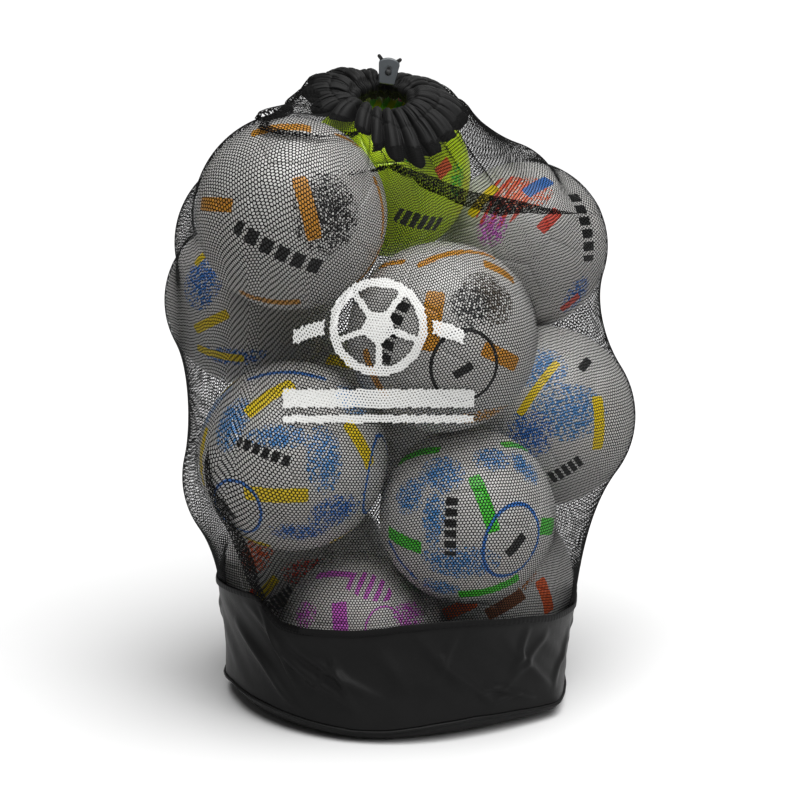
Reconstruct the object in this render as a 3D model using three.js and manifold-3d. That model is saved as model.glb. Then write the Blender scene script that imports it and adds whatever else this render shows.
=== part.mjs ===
// Mesh ball bag: a drawstring carry bag of knitted net with a cloth base, holding twelve footballs.
// Millimetres, +Z up. The origin is the middle of the round base, on the ground. The front is at -Y.

import * as THREE from 'three';
import { mergeVertices } from 'three/addons/utils/BufferGeometryUtils.js';
import Module from 'manifold-3d';

const wasm = await Module();
wasm.setup();

// ---- Driving dimensions ----

const COLUMNS = 40; // facets around the bag
const GAP = 0.4; // clearance between neighbouring pieces

const BASE_FLAT_RADIUS = 186;
const BASE_RADIUS = 203.5;
const BASE_CLOTH = 3;
const SEAM_HEIGHT = 12;
const PIPING_RADIUS = 2.2;

const BAND_HEIGHT = 130;
const BAND_ROWS = 4;
const CLOTH = 2.4; // the thickness that stands in for the bag's cloth and net
const BINDING_HALF_WIDTH = 4.5;
const BINDING_THICKNESS = 1.2;

const NET_ROWS = 20;
const NET_TO_BALL = 2;
const FACET_TO_BALL = 1.8;
const DRAPE_STEPS = 600;
const START_BULGE = 330; // the cloth starts this far outside a straight cone
const HOOP_PULL = 0.5; // the share of the pull that runs round the bag, the rest running up it
const FULLNESS = 0.3; // how far each step lets the cloth belly out
const CLEARING_STEPS = 120;
const NET_END_GAP = 3; // between the net's top edge and the casing
const TAPE_GAP = 1.1;

const MOUTH = new THREE.Vector3(-13, -25, 725); // the middle of the gathered mouth
const MOUTH_TILT = THREE.MathUtils.degToRad(19); // the mouth leans to the front
const DRAWSTRING_RING_RADIUS = 36;
const ROLL_RADIUS = 7.5; // the rolled cloth round the drawstring
const CASING_CENTRE = new THREE.Vector3(-9, -17, 710);
const CASING_RADIUS = 88;
const CASING_CLOTH = 5;
const CASING_TO_BALL = 7;
const CASING_ROWS = 4;

const CORD_RADIUS = 2.1;
const TUNNEL_RADIUS = 3.4;
const CORD_SIDES = 8;
const DRAWSTRING_STEPS = 56;
const TAIL_STEPS = 62;

const LOCK_FOOT = new THREE.Vector3(-8.5, -3.6, 741.5); // the middle of the cord lock's lower edge
const LOCK_TILT = THREE.MathUtils.degToRad(8);
const LOCK_THICKNESS = 9;
const LOCK_CHAMFER = 0.8;
const CHANNEL_OFFSET = 5.5;
const CHANNEL_RADIUS = 2.8;
const STUB_LENGTH = 19.4; // how far the drawstring's ends reach up into the lock
const WEDGE_TRAVEL = 4;
const WEDGE_HALF_WIDTH = 3;
const WEDGE_THICKNESS = 4;
const KNOB_HEIGHT = 13.8; // above the lock's lower edge, when locked
const KNOB_RADIUS = 3.6;
const SLOT_RADIUS = 2.3;
const RECESS_RADIUS = 4.1;
const RECESS_DEPTH = 1;

const BALL_WALL = 5;
const VALVE_RADIUS = 3.2;

// Each ball: its name, its centre, its radius and the direction its valve faces.
const BALLS = [
  { name: 'upper_left', centre: [-117, -100, 605], radius: 110, valve: [0.2, 0.5, 0.8] },
  { name: 'lime_top', centre: [-8, 80, 622], radius: 100, valve: [0.3, 0.9, -0.2] },
  { name: 'upper_right', centre: [158, 148, 520], radius: 103, valve: [0.5, 0.6, 0.6] },
  { name: 'upper_front', centre: [56, -110, 463], radius: 110, valve: [0.1, 0.7, -0.6] },
  { name: 'middle_left', centre: [-117, -120, 324], radius: 110, valve: [-0.2, 0.7, 0.6] },
  { name: 'middle_right', centre: [182, 62, 326], radius: 110, valve: [0.3, 0.8, -0.3] },
  { name: 'front_right', centre: [86, -115, 251], radius: 103, valve: [0.6, 0.5, 0.5] },
  { name: 'small_front', centre: [-38, -85, 99], radius: 95, valve: [0.2, 0.8, 0.4] },
  { name: 'left_back', centre: [-173, 75, 467], radius: 103, valve: [-0.2, 0.9, 0.3] },
  { name: 'middle_back', centre: [-40, 130, 313], radius: 103, valve: [0.5, 0.7, 0.4] },
  { name: 'lower_left', centre: [-108, 100, 120], radius: 103, valve: [-0.3, 0.8, -0.2] },
  { name: 'lower_right', centre: [120, 95, 107], radius: 103, valve: [0.2, 0.9, 0.1] },
].map((ball) => ({
  ...ball,
  centre: new THREE.Vector3(...ball.centre),
  valve: new THREE.Vector3(...ball.valve).normalize(),
}));

// Stretches of loose net that stand off the balls beside them: lower left, right and left shoulder.
const LOOSE_NET = [
  { centre: new THREE.Vector3(-146, -60, 283), radius: 104 },
  { centre: new THREE.Vector3(126, 80, 585), radius: 90 },
  { centre: new THREE.Vector3(-152, -20, 556), radius: 105 },
];

// ---- Materials ----

const MATERIALS = {
  cloth: new THREE.MeshStandardMaterial({ color: 0x1c1c1c, roughness: 0.75, metalness: 0 }),
  net: new THREE.MeshStandardMaterial({ color: 0x161616, roughness: 0.85, metalness: 0 }),
  cord: new THREE.MeshStandardMaterial({ color: 0x141414, roughness: 0.8, metalness: 0 }),
  lock: new THREE.MeshStandardMaterial({ color: 0x55585c, roughness: 0.45, metalness: 0 }),
  ball: new THREE.MeshStandardMaterial({ color: 0xe6e6e4, roughness: 0.5, metalness: 0 }),
  limeBall: new THREE.MeshStandardMaterial({ color: 0xc4e02c, roughness: 0.5, metalness: 0 }),
  valve: new THREE.MeshStandardMaterial({ color: 0x222222, roughness: 0.7, metalness: 0 }),
};

const bag = new THREE.Group();

function addPiece(name, geometry, material, parent = bag) {
  const mesh = new THREE.Mesh(geometry, material);
  mesh.name = name;
  parent.add(mesh);
}

// ---- Geometry tools ----

function positionsOnly(geometry) {
  const plain = geometry.clone();
  plain.deleteAttribute('normal');
  plain.deleteAttribute('uv');
  return mergeVertices(plain);
}

function toSolid(geometry) {
  const plain = positionsOnly(geometry);
  return new wasm.Manifold(
    new wasm.Mesh({
      numProp: 3,
      vertProperties: new Float32Array(plain.attributes.position.array),
      triVerts: new Uint32Array(plain.index.array),
    }),
  );
}

function toGeometry(solid) {
  const { vertProperties, triVerts } = solid.getMesh();
  const geometry = new THREE.BufferGeometry();
  geometry.setAttribute('position', new THREE.BufferAttribute(vertProperties, 3));
  geometry.setIndex(new THREE.BufferAttribute(triVerts, 1));
  return geometry;
}

// A closed body from rings of equal length. Each ring joins the next, and the last joins the first.
function bodyFromRings(rings) {
  const around = rings[0].length;
  const faces = [];
  rings.forEach((_, row) => {
    const here = row * around;
    const next = ((row + 1) % rings.length) * around;
    for (let i = 0; i < around; i++) {
      const j = (i + 1) % around;
      faces.push(here + i, here + j, next + j, here + i, next + j, next + i);
    }
  });
  const geometry = new THREE.BufferGeometry().setFromPoints(rings.flat());
  geometry.setIndex(faces);
  return geometry;
}

// A wall: up its outer rings and down its inner ones.
function wall(outer, inner) {
  return bodyFromRings([...outer, ...inner.toReversed()]);
}

function circle(radius, height) {
  return Array.from({ length: COLUMNS }, (_, i) => {
    const angle = (i / COLUMNS) * 2 * Math.PI;
    return new THREE.Vector3(radius * Math.cos(angle), radius * Math.sin(angle), height);
  });
}

// A rod along a curve, closed at both ends.
function rod(curve, radius, steps, sides = CORD_SIDES) {
  const section = new THREE.Shape(
    Array.from({ length: sides }, (_, i) => {
      const angle = (i / sides) * 2 * Math.PI;
      return new THREE.Vector2(radius * Math.cos(angle), radius * Math.sin(angle));
    }),
  );
  return new THREE.ExtrudeGeometry(section, { steps, extrudePath: curve });
}

// A turned body whose axis is +Z.
function turned(profile, segments) {
  const points = profile.map(([radius, height]) => new THREE.Vector2(radius, height));
  return positionsOnly(new THREE.LatheGeometry(points, segments)).rotateX(Math.PI / 2);
}

// A plate whose outline is drawn on X and Z, with its thickness centred on Y.
function plate(shape, thickness, chamfer = 0) {
  const geometry = new THREE.ExtrudeGeometry(shape, {
    depth: thickness - 2 * chamfer,
    bevelEnabled: chamfer > 0,
    bevelSize: chamfer,
    bevelThickness: chamfer,
    bevelOffset: -chamfer,
    bevelSegments: 1,
    curveSegments: 6,
  });
  return geometry.translate(0, 0, chamfer - thickness / 2).rotateX(Math.PI / 2);
}

// ---- The drape of the bag over its balls ----

function pushOut(point, obstacles, gap) {
  obstacles.forEach(({ centre, radius }) => {
    const offset = point.clone().sub(centre);
    if (offset.length() < radius + gap) {
      point.copy(centre).add(offset.setLength(radius + gap));
    }
  });
}

// The casing's outer edge: it lies higher at the back and on the left, where balls hold it up.
function casingEdge(angle) {
  const edge = new THREE.Vector3(
    CASING_CENTRE.x + CASING_RADIUS * Math.cos(angle),
    CASING_CENTRE.y + CASING_RADIUS * Math.sin(angle),
    CASING_CENTRE.z - 13 * Math.cos(angle) + 33 * Math.sin(angle) + 8 * Math.cos(2 * angle),
  );
  pushOut(edge, BALLS, CASING_TO_BALL);
  return edge;
}

// A point on the circle that the drawstring follows round the mouth.
function onMouthRing(angle) {
  const across = new THREE.Vector3(0, Math.cos(MOUTH_TILT), Math.sin(MOUTH_TILT));
  return MOUTH.clone()
    .addScaledVector(across, DRAWSTRING_RING_RADIUS * Math.sin(angle))
    .add(new THREE.Vector3(DRAWSTRING_RING_RADIUS * Math.cos(angle), 0, 0));
}

// Between its points the cloth is flat, so the middles of its edges and faces are kept clear too.
function clearFacets(rings) {
  for (let row = 1; row < rings.length - 2; row++) {
    for (let i = 0; i < COLUMNS; i++) {
      const j = (i + 1) % COLUMNS;
      const [a, b, c, d] = [rings[row][i], rings[row][j], rings[row + 1][j], rings[row + 1][i]];
      for (const group of [[a, b, c, d], [a, b, c], [a, c, d], [a, b], [a, c], [a, d]]) {
        const middle = new THREE.Vector3();
        group.forEach((corner) => middle.addScaledVector(corner, 1 / group.length));
        const clear = middle.clone();
        pushOut(clear, BALLS, FACET_TO_BALL);
        group.forEach((corner) => corner.add(clear).sub(middle));
      }
    }
  }
}

function ringOf(pointAt) {
  return Array.from({ length: COLUMNS }, (_, i) => pointAt((i / COLUMNS) * 2 * Math.PI));
}

// The cloth starts outside every ball and draws in: each point moves to a middle of its four
// neighbours, and stays out of the balls. The lowest and highest rings are sewn in place.
function drapedRings() {
  const rows = BAND_ROWS + NET_ROWS;
  const bottom = circle(BASE_RADIUS - CLOTH + 0.5, SEAM_HEIGHT + 1);
  const top = ringOf(casingEdge);
  const rings = Array.from({ length: rows + 1 }, (_, row) => {
    if (row === 0) return bottom;
    if (row === rows) return top;
    const bulge = START_BULGE * Math.sin((Math.PI * row) / rows);
    return bottom.map((low, i) => {
      const point = low.clone().lerp(top[i], row / rows);
      const outward = new THREE.Vector3(low.x, low.y, 0).setLength(bulge);
      return point.add(outward);
    });
  });
  for (let step = 0; step < DRAPE_STEPS; step++) {
    for (let row = 1; row < rows; row++) {
      for (let i = 0; i < COLUMNS; i++) {
        const ring = rings[row];
        const beside = ring[(i + 1) % COLUMNS].clone().add(ring[(i + COLUMNS - 1) % COLUMNS]);
        const above = rings[row - 1][i].clone().add(rings[row + 1][i]);
        const point = beside.multiplyScalar(HOOP_PULL / 2);
        point.addScaledVector(above, (1 - HOOP_PULL) / 2);
        point.addScaledVector(outwardAt(rings, row, i), FULLNESS);
        if (row === BAND_ROWS) point.z = BAND_HEIGHT;
        pushOut(point, BALLS, NET_TO_BALL);
        pushOut(point, LOOSE_NET, 0);
        ring[i] = point;
      }
    }
  }
  for (let step = 0; step < CLEARING_STEPS; step++) {
    clearFacets(rings);
  }
  return rings;
}

// The direction that faces out of a sheet of rings at one of its points.
function outwardAt(rings, row, i) {
  const ring = rings[row];
  const along = ring[(i + 1) % COLUMNS].clone().sub(ring[(i + COLUMNS - 1) % COLUMNS]);
  const upper = rings[Math.min(row + 1, rings.length - 1)][i];
  const lower = rings[Math.max(row - 1, 0)][i];
  return along.cross(upper.clone().sub(lower)).normalize();
}

function offsetRings(rings, distance) {
  return rings.map((ring, row) =>
    ring.map((point, i) => point.clone().addScaledVector(outwardAt(rings, row, i), distance)),
  );
}

// The ring a little way along the sheet from ring a towards ring b.
function stepTowards(a, b, distance) {
  return a.map((point, i) => point.clone().add(b[i].clone().sub(point).setLength(distance)));
}

// ---- Base, band and net ----

const innerCloth = drapedRings();
const outerCloth = offsetRings(innerCloth, CLOTH);
outerCloth[0] = circle(BASE_RADIUS + 0.5, SEAM_HEIGHT + 1);

function makeBase() {
  const profile = [
    [0, 0],
    [BASE_FLAT_RADIUS, 0],
    [195, 2.4],
    [201, 6.4],
    [BASE_RADIUS, SEAM_HEIGHT],
    [BASE_RADIUS - BASE_CLOTH, SEAM_HEIGHT],
    [198.4, 8.4],
    [193.4, 5],
    [BASE_FLAT_RADIUS - 1, BASE_CLOTH],
    [0, BASE_CLOTH],
  ];
  addPiece('base_panel', turned(profile, COLUMNS), MATERIALS.cloth);
  const pipingRings = Array.from({ length: 6 }, (_, i) => {
    const angle = (i / 6) * 2 * Math.PI;
    const radius = BASE_RADIUS + 3.6 + PIPING_RADIUS * Math.cos(angle);
    return circle(radius, SEAM_HEIGHT - 1.5 + PIPING_RADIUS * Math.sin(angle));
  });
  addPiece('base_piping', bodyFromRings(pipingRings), MATERIALS.cloth);
}

function makeBand() {
  const upTo = BAND_ROWS + 1;
  const shell = wall(outerCloth.slice(0, upTo), innerCloth.slice(0, upTo));
  addPiece('lower_band', shell, MATERIALS.cloth);

  // The tape that binds the band's top edge to the net, just outside both.
  const tape = (distance) => {
    const sheet = offsetRings(innerCloth, CLOTH + distance);
    const [below, seam, above] = sheet.slice(BAND_ROWS - 1, BAND_ROWS + 2);
    const lower = stepTowards(seam, below, BINDING_HALF_WIDTH);
    return [lower, seam, stepTowards(seam, above, BINDING_HALF_WIDTH)];
  };
  const binding = wall(tape(TAPE_GAP + BINDING_THICKNESS), tape(TAPE_GAP));
  addPiece('band_binding', binding, MATERIALS.cloth);
}

function makeNet() {
  const trimmed = (rings) => {
    const net = rings.slice(BAND_ROWS);
    const first = stepTowards(net[0], net[1], 2 * GAP);
    const last = stepTowards(net.at(-1), net.at(-2), NET_END_GAP);
    return [first, ...net.slice(1, -1), last];
  };
  addPiece('net_body', wall(trimmed(outerCloth), trimmed(innerCloth)), MATERIALS.net);
}

// ---- Casing, drawstring and tails ----

// A place given in the cord lock's own frame: x across it, y through it, z up from its lower edge.
function onLock(x, y, z) {
  return new THREE.Vector3(x, y, z)
    .applyAxisAngle(new THREE.Vector3(0, 1, 0), LOCK_TILT)
    .add(LOCK_FOOT);
}

// From the left side of the lock, down into the casing, round the mouth, and up to the right side.
function drawstringCurve() {
  const stub = (side) =>
    [STUB_LENGTH, 13, 7, 1, -1.5].map((height) => onLock(side * CHANNEL_OFFSET, 0, height));
  const ring = Array.from({ length: 19 }, (_, i) =>
    onMouthRing(THREE.MathUtils.degToRad(112 + (i / 18) * 300)),
  );
  return new THREE.CatmullRomCurve3([...stub(-1), ...ring, ...stub(1).toReversed()]);
}

function makeCasing() {
  const rim = ringOf(onMouthRing);
  const edge = ringOf(casingEdge);
  const sheet = Array.from({ length: CASING_ROWS + 1 }, (_, row) =>
    edge.map((outer, i) => {
      const point = outer.clone().lerp(rim[i], row / CASING_ROWS);
      pushOut(point, BALLS, CASING_TO_BALL);
      return point;
    }),
  );
  const skirt = wall(offsetRings(sheet, CASING_CLOTH / 2), offsetRings(sheet, -CASING_CLOTH / 2));
  const roll = new THREE.TorusGeometry(DRAWSTRING_RING_RADIUS, ROLL_RADIUS, 10, COLUMNS);
  roll.rotateX(MOUTH_TILT).translate(...MOUTH.toArray());
  const curve = drawstringCurve();
  const tunnel = toSolid(rod(curve, TUNNEL_RADIUS, DRAWSTRING_STEPS));
  const casing = toSolid(skirt).add(toSolid(roll)).subtract(tunnel);
  addPiece('collar_casing', toGeometry(casing), MATERIALS.cloth);
  addPiece('drawstring', rod(curve, CORD_RADIUS, DRAWSTRING_STEPS), MATERIALS.cord);
}

// The free ends of the drawstring leave the lock's top corners and hang down the back of the bag.
// inLock is in the lock's own frame.
const TAILS = {
  left: {
    inLock: [
      [-5.5, 0, 20], [-5.5, 0, 21], [-6.5, 0, 23.8], [-9, 0.4, 26.8], [-11.6, 2.8, 29.2],
      [-12.8, 7.8, 29.9], [-11.9, 13.5, 28.4], [-9.8, 19.5, 25.2],
    ],
    free: [
      [-14, 30, 760.5], [-14, 46, 755], [-14.5, 63, 749.5], [-16, 82, 742], [-19, 102, 732.5],
      [-24, 122, 723], [-31, 142, 710], [-37, 161, 694], [-41, 176, 672], [-44, 186, 641],
      [-46, 188, 605], [-48, 190, 568], [-48, 195, 530], [-49, 202, 492], [-50, 208, 456],
      [-50, 215, 422], [-51, 224, 391], [-51, 235, 363], [-52, 243, 338], [-52, 249, 311],
      [-52, 250, 280], [-52, 249, 245], [-52, 248, 210], [-51, 247, 172],
    ],
  },
  right: {
    inLock: [
      [5.5, 0, 20], [5.5, 0, 21], [6.5, 0, 23.6], [8.9, 0.4, 26.2], [11.2, 2.8, 28.2],
      [12, 8, 28.6], [10.6, 14.5, 26.6], [8, 21, 23],
    ],
    free: [
      [2.2, 33, 757.5], [2.2, 48, 752], [2.6, 65, 746], [3.4, 83, 739.5], [6, 102, 730.5],
      [9, 122, 722], [12, 142, 710], [14, 161, 693], [15, 177, 668], [15.5, 188, 640],
      [15, 195, 604], [14, 202, 568], [13, 208, 532], [12, 213, 496], [11, 217, 460],
      [10, 221, 424], [9, 225, 390], [7, 231, 358], [5, 238, 328], [3, 240, 296],
      [2, 240.5, 262], [1, 240, 228], [0, 239.5, 194],
    ],
  },
};

function tailRoute({ inLock, free }) {
  const start = inLock.map(([x, y, z]) => onLock(x, y, z));
  return [...start, ...free.map(([x, y, z]) => new THREE.Vector3(x, y, z))];
}

function tailRod(tail, radius) {
  return rod(new THREE.CatmullRomCurve3(tailRoute(tail)), radius, TAIL_STEPS);
}

function makeTail(side, tail) {
  addPiece(`cord_tail_${side}`, tailRod(tail, CORD_RADIUS), MATERIALS.cord);

  // The overhand knot that ends the tail, as one plain bead below it.
  const knot = turned(
    [[0, -8], [3.4, -7.4], [5.6, -4.6], [6, -1.4], [4.8, 2.6], [2.6, 4.6], [0, 5]],
    CORD_SIDES,
  );
  const [before, end] = tailRoute(tail).slice(-2);
  const down = end.clone().sub(before).normalize();
  const turn = new THREE.Quaternion().setFromUnitVectors(new THREE.Vector3(0, 0, -1), down);
  knot.applyQuaternion(turn);
  knot.translate(...end.clone().addScaledVector(down, 5 + GAP).toArray());
  addPiece(`tail_knot_${side}`, knot, MATERIALS.cord);
}

// ---- Cord lock ----

function stadium(radius, low, high) {
  const shape = new THREE.Shape();
  shape.absarc(0, high, radius, 0, Math.PI, false);
  shape.absarc(0, low, radius, Math.PI, 2 * Math.PI, false);
  return shape;
}

function lockOutline() {
  const shape = new THREE.Shape();
  shape.moveTo(-9.2, 1.4);
  shape.quadraticCurveTo(-9, 0, -7.6, 0);
  shape.lineTo(7.6, 0);
  shape.quadraticCurveTo(9, 0, 9.2, 1.4);
  shape.lineTo(12.2, 22.5);
  shape.quadraticCurveTo(12.4, 25.4, 10, 26.8);
  shape.quadraticCurveTo(5.4, 30, 0, 30);
  shape.quadraticCurveTo(-5.4, 30, -10, 26.8);
  shape.quadraticCurveTo(-12.4, 25.4, -12.2, 22.5);
  return shape;
}

function makeLock() {
  const lock = new THREE.Group();
  lock.position.copy(LOCK_FOOT);
  lock.rotation.y = LOCK_TILT;
  bag.add(lock);
  lock.updateMatrixWorld();
  const toLockFrame = lock.matrixWorld.clone().invert();

  let body = toSolid(plate(lockOutline(), LOCK_THICKNESS, LOCK_CHAMFER));
  for (const tail of Object.values(TAILS)) {
    const [x] = tail.inLock[0];
    const bore = new THREE.CylinderGeometry(CHANNEL_RADIUS, CHANNEL_RADIUS, 26, 12);
    bore.rotateX(Math.PI / 2).translate(x, 0, 10);
    const flare = tailRod(tail, CHANNEL_RADIUS).applyMatrix4(toLockFrame);
    body = body.subtract(toSolid(bore)).subtract(toSolid(flare));
  }
  const pocket = new THREE.BoxGeometry(2 * WEDGE_HALF_WIDTH + 0.6, WEDGE_THICKNESS + 0.6, 17);
  pocket.translate(0, 0, 16.1);
  const high = KNOB_HEIGHT + WEDGE_TRAVEL;
  const front = -LOCK_THICKNESS / 2;
  const slot = plate(stadium(SLOT_RADIUS, KNOB_HEIGHT, high), LOCK_THICKNESS / 2);
  slot.translate(0, -LOCK_THICKNESS / 4 - 1, 0);
  const recess = plate(stadium(RECESS_RADIUS, KNOB_HEIGHT, high), 2 * RECESS_DEPTH);
  recess.translate(0, front, 0);
  body = body.subtract(toSolid(pocket)).subtract(toSolid(slot)).subtract(toSolid(recess));
  addPiece('lock_body', toGeometry(body), MATERIALS.lock, lock);

  // The wedge that pinches both cords, with the hole that its knob snaps into.
  const outline = new THREE.Shape();
  outline.moveTo(-WEDGE_HALF_WIDTH + 0.6, 8);
  outline.lineTo(WEDGE_HALF_WIDTH - 0.6, 8);
  outline.lineTo(WEDGE_HALF_WIDTH, 19.5);
  outline.lineTo(-WEDGE_HALF_WIDTH, 19.5);
  outline.holes.push(new THREE.Path().absarc(0, KNOB_HEIGHT, 1.6, 0, 2 * Math.PI, true));
  addPiece('lock_wedge', plate(outline, WEDGE_THICKNESS), MATERIALS.lock, lock);

  const knob = turned(
    [[0, -3.6], [1.2, -3.6], [1.2, 0], [KNOB_RADIUS, 0], [KNOB_RADIUS, 0.7], [2.9, 1.7], [1.5, 2.3], [0, 2.5]],
    16,
  );
  knob.rotateX(Math.PI / 2).translate(0, front + RECESS_DEPTH - 0.3, KNOB_HEIGHT);
  addPiece('lock_knob', knob, MATERIALS.lock, lock);
}

// ---- Balls ----

// Each ball is a hollow shell. Its rubber valve sits in the hole, with its flange inside the wall.
function makeBall({ name, centre, radius, valve }) {
  const turn = new THREE.Quaternion().setFromUnitVectors(new THREE.Vector3(0, 0, 1), valve);
  const hole = new THREE.CylinderGeometry(VALVE_RADIUS + GAP, VALVE_RADIUS + GAP, 16, 8);
  hole.rotateX(Math.PI / 2).translate(0, 0, radius - 4);
  const shell = toSolid(new THREE.IcosahedronGeometry(radius, 2))
    .subtract(toSolid(new THREE.IcosahedronGeometry(radius - BALL_WALL, 1)))
    .subtract(toSolid(hole));
  const skin = toGeometry(shell).applyQuaternion(turn).translate(...centre.toArray());
  addPiece(`ball_${name}`, skin, name === 'lime_top' ? MATERIALS.limeBall : MATERIALS.ball);

  const plug = turned([[0, -14], [VALVE_RADIUS, -14], [VALVE_RADIUS, -3.2], [0, -3.2]], 8);
  plug.translate(0, 0, radius).applyQuaternion(turn).translate(...centre.toArray());
  addPiece(`valve_${name}`, plug, MATERIALS.valve);
}

makeBase();
makeBand();
makeNet();
makeCasing();
makeLock();
for (const [side, tail] of Object.entries(TAILS)) {
  makeTail(side, tail);
}
BALLS.forEach(makeBall);

export default bag;
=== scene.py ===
"""Mesh ball bag: the looks of a drawstring net bag full of footballs, built round its frame."""

import functools
import math

import bpy
import numpy as np
from mathutils import Matrix, Vector


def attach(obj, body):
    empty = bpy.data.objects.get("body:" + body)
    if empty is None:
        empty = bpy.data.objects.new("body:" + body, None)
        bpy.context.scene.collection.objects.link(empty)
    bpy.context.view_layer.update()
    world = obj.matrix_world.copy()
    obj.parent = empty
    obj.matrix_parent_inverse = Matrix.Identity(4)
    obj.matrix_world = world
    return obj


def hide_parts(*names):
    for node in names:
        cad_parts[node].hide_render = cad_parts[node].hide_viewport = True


bl_info = {
    "name": "Mesh ball bag",
    "version": (1, 0, 0),
    "blender": (4, 5, 0),
    "location": "View3D > Sidebar > Ball bag",
    "description": "Builds a net ball bag, its gathered collar, cord lock and footballs",
    "category": "Add Mesh",
}

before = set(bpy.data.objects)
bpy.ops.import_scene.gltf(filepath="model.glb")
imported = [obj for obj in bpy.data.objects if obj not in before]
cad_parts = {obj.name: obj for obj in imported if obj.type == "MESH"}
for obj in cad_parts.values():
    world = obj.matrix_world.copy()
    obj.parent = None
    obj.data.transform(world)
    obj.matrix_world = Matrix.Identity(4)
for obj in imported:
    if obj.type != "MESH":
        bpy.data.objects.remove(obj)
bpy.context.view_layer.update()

# ---- Sizes, in millimetres as in the frame's own source ----

MM = 0.001
COLUMNS = 48  # of the coarse cloth; the finished cloth has eight times as many
BASE_FLAT_RADIUS = 186  # the part that lies on the floor
BASE_RADIUS = 203.5
SEAM_HEIGHT = 12
PIPING_RADIUS = 1.6
BAND_HEIGHT = 130
BAND_ROWS = 4
NET_ROWS = 20
NET_TO_BALL = 2.0  # the gap kept between the net and a ball
START_BULGE = 330  # how far outside its ends the cloth starts
FULLNESS = 0.3  # the small push outwards at each step of the drape
MOUTH = np.array([-13.0, -25.0, 725.0])
MOUTH_TILT = math.radians(19)
DRAWSTRING_RING_RADIUS = 36
CASING_CENTRE = np.array([-9.0, -17.0, 710.0])
CASING_RADIUS = 88
CASING_TO_BALL = 7
LOCK_FOOT = np.array([-8.5, -3.6, 741.5])
LOCK_TILT = math.radians(8)
CHANNEL_OFFSET = 5.5
CORD_GIRTH = 13.2
CORD_SIDES = 14
CORD_TIP = 0.02  # the radius that a cord's end closes to
CORD_ENDS = np.array([CORD_TIP, 0.55, 0.85])  # how a cord's radius grows from its end
KNOT_RADIUS, KNOT_SIDES = 1.9, 12
FLOOR_REACH, FLOOR_DROP = 30000.0, 0.6
CAMERA_RISE = math.radians(14)  # how far above the bag's front the camera looks from
CAMERA_TARGET = np.array([7.2, 0, 361])
CAMERA_LENS = 131.6  # millimetres of focal length, on a sensor 36 mm wide

DRAPE_STEPS = (1500, 500, 260, 120)  # at each fineness of the cloth, from coarse to fine

# Each ball: its centre and its radius.
BALLS = {
    "upper_left": ((-117, -100, 605), 110),
    "lime_top": ((-8, 80, 622), 100),
    "upper_right": ((158, 148, 520), 103),
    "upper_front": ((56, -110, 463), 110),
    "middle_left": ((-117, -120, 324), 110),
    "middle_right": ((182, 62, 326), 110),
    "front_right": ((86, -115, 251), 103),
    "small_front": ((-38, -85, 99), 95),
    "left_back": ((-173, 75, 467), 103),
    "middle_back": ((-40, 130, 313), 103),
    "lower_left": ((-108, 100, 120), 103),
    "lower_right": ((120, 95, 107), 103),
}
# Where the net stands off the balls: a sphere inside each of its loose places.
LOOSE_NET = [((-146, -60, 283), 104), ((126, 80, 585), 76), ((-152, -20, 556), 105),
             ((117, 0, 138), 105), ((-101, 0, 120), 102)]

# The routes of the cord's two free ends: in the lock's own frame, then hanging behind the bag.
TAILS = {
    "left": (
        [(-5.5, 0, 20), (-5.5, 0, 21), (-6.5, 0, 23.8), (-9, 0.4, 26.8), (-11.6, 2.8, 29.2),
         (-12.8, 7.8, 29.9), (-11.9, 13.5, 28.4), (-9.8, 19.5, 25.2)],
        [(-14, 30, 760.5), (-14, 46, 755), (-14.5, 63, 749.5), (-16, 82, 742), (-19, 102, 732.5),
         (-24, 122, 723), (-31, 142, 710), (-37, 161, 694), (-41, 176, 672), (-44, 186, 641),
         (-46, 188, 605), (-48, 190, 568), (-48, 195, 530), (-49, 202, 492), (-50, 208, 456),
         (-50, 215, 422), (-51, 224, 391), (-51, 235, 363), (-52, 243, 338), (-52, 249, 311),
         (-52, 250, 280), (-52, 249, 245), (-52, 248, 210), (-51, 247, 172)],
    ),
    "right": (
        [(5.5, 0, 20), (5.5, 0, 21), (6.5, 0, 23.6), (8.9, 0.4, 26.2), (11.2, 2.8, 28.2),
         (12, 8, 28.6), (10.6, 14.5, 26.6), (8, 21, 23)],
        [(2.2, 33, 757.5), (2.2, 48, 752), (2.6, 65, 746), (3.4, 83, 739.5), (6, 102, 730.5),
         (9, 122, 722), (12, 142, 710), (14, 161, 693), (15, 177, 668), (15.5, 188, 640),
         (15, 195, 604), (14, 202, 568), (13, 208, 532), (12, 213, 496), (11, 217, 460),
         (10, 221, 424), (9, 225, 390), (7, 231, 358), (5, 238, 328), (3, 240, 296),
         (2, 240.5, 262), (1, 240, 228), (0, 239.5, 194)],
    ),
}

# How the base's seam strays from its circle: degrees, mm outwards, mm up. The bag stands on the
# middle of its base, so that the seam lies a little above the floor in places.
SEAM_SHAPE = ((0, 3, 3), (60, 0, 0), (120, 0, 2), (160, 0, 6), (182, 3, 10), (199, 1, 17),
              (222, 0, 13), (240, 0, 7), (257, 0, 2), (268, 0, 3), (285, 0, 10), (298, 0, 12),
              (314, 5, 9), (331, 19, 4), (346, 8, 3))


# ---- Colours and nodes ----


def linear(hex_colour):
    """An sRGB hex colour as linear red, green, blue and alpha."""
    parts = [int(hex_colour[i : i + 2], 16) / 255 for i in (1, 3, 5)]
    lit = [c / 12.92 if c <= 0.04045 else ((c + 0.055) / 1.055) ** 2.4 for c in parts]
    return (*lit, 1.0)


def add_node(tree, kind, inputs=None, **settings):
    """Adds a node, gives it its settings, and links or sets its inputs."""
    node = tree.nodes.new(kind)
    for key, value in settings.items():
        setattr(node, key, value)
    for key, value in (inputs or {}).items():
        if isinstance(value, bpy.types.NodeSocket):
            tree.links.new(value, node.inputs[key])
        else:
            node.inputs[key].default_value = value
    return node


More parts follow.
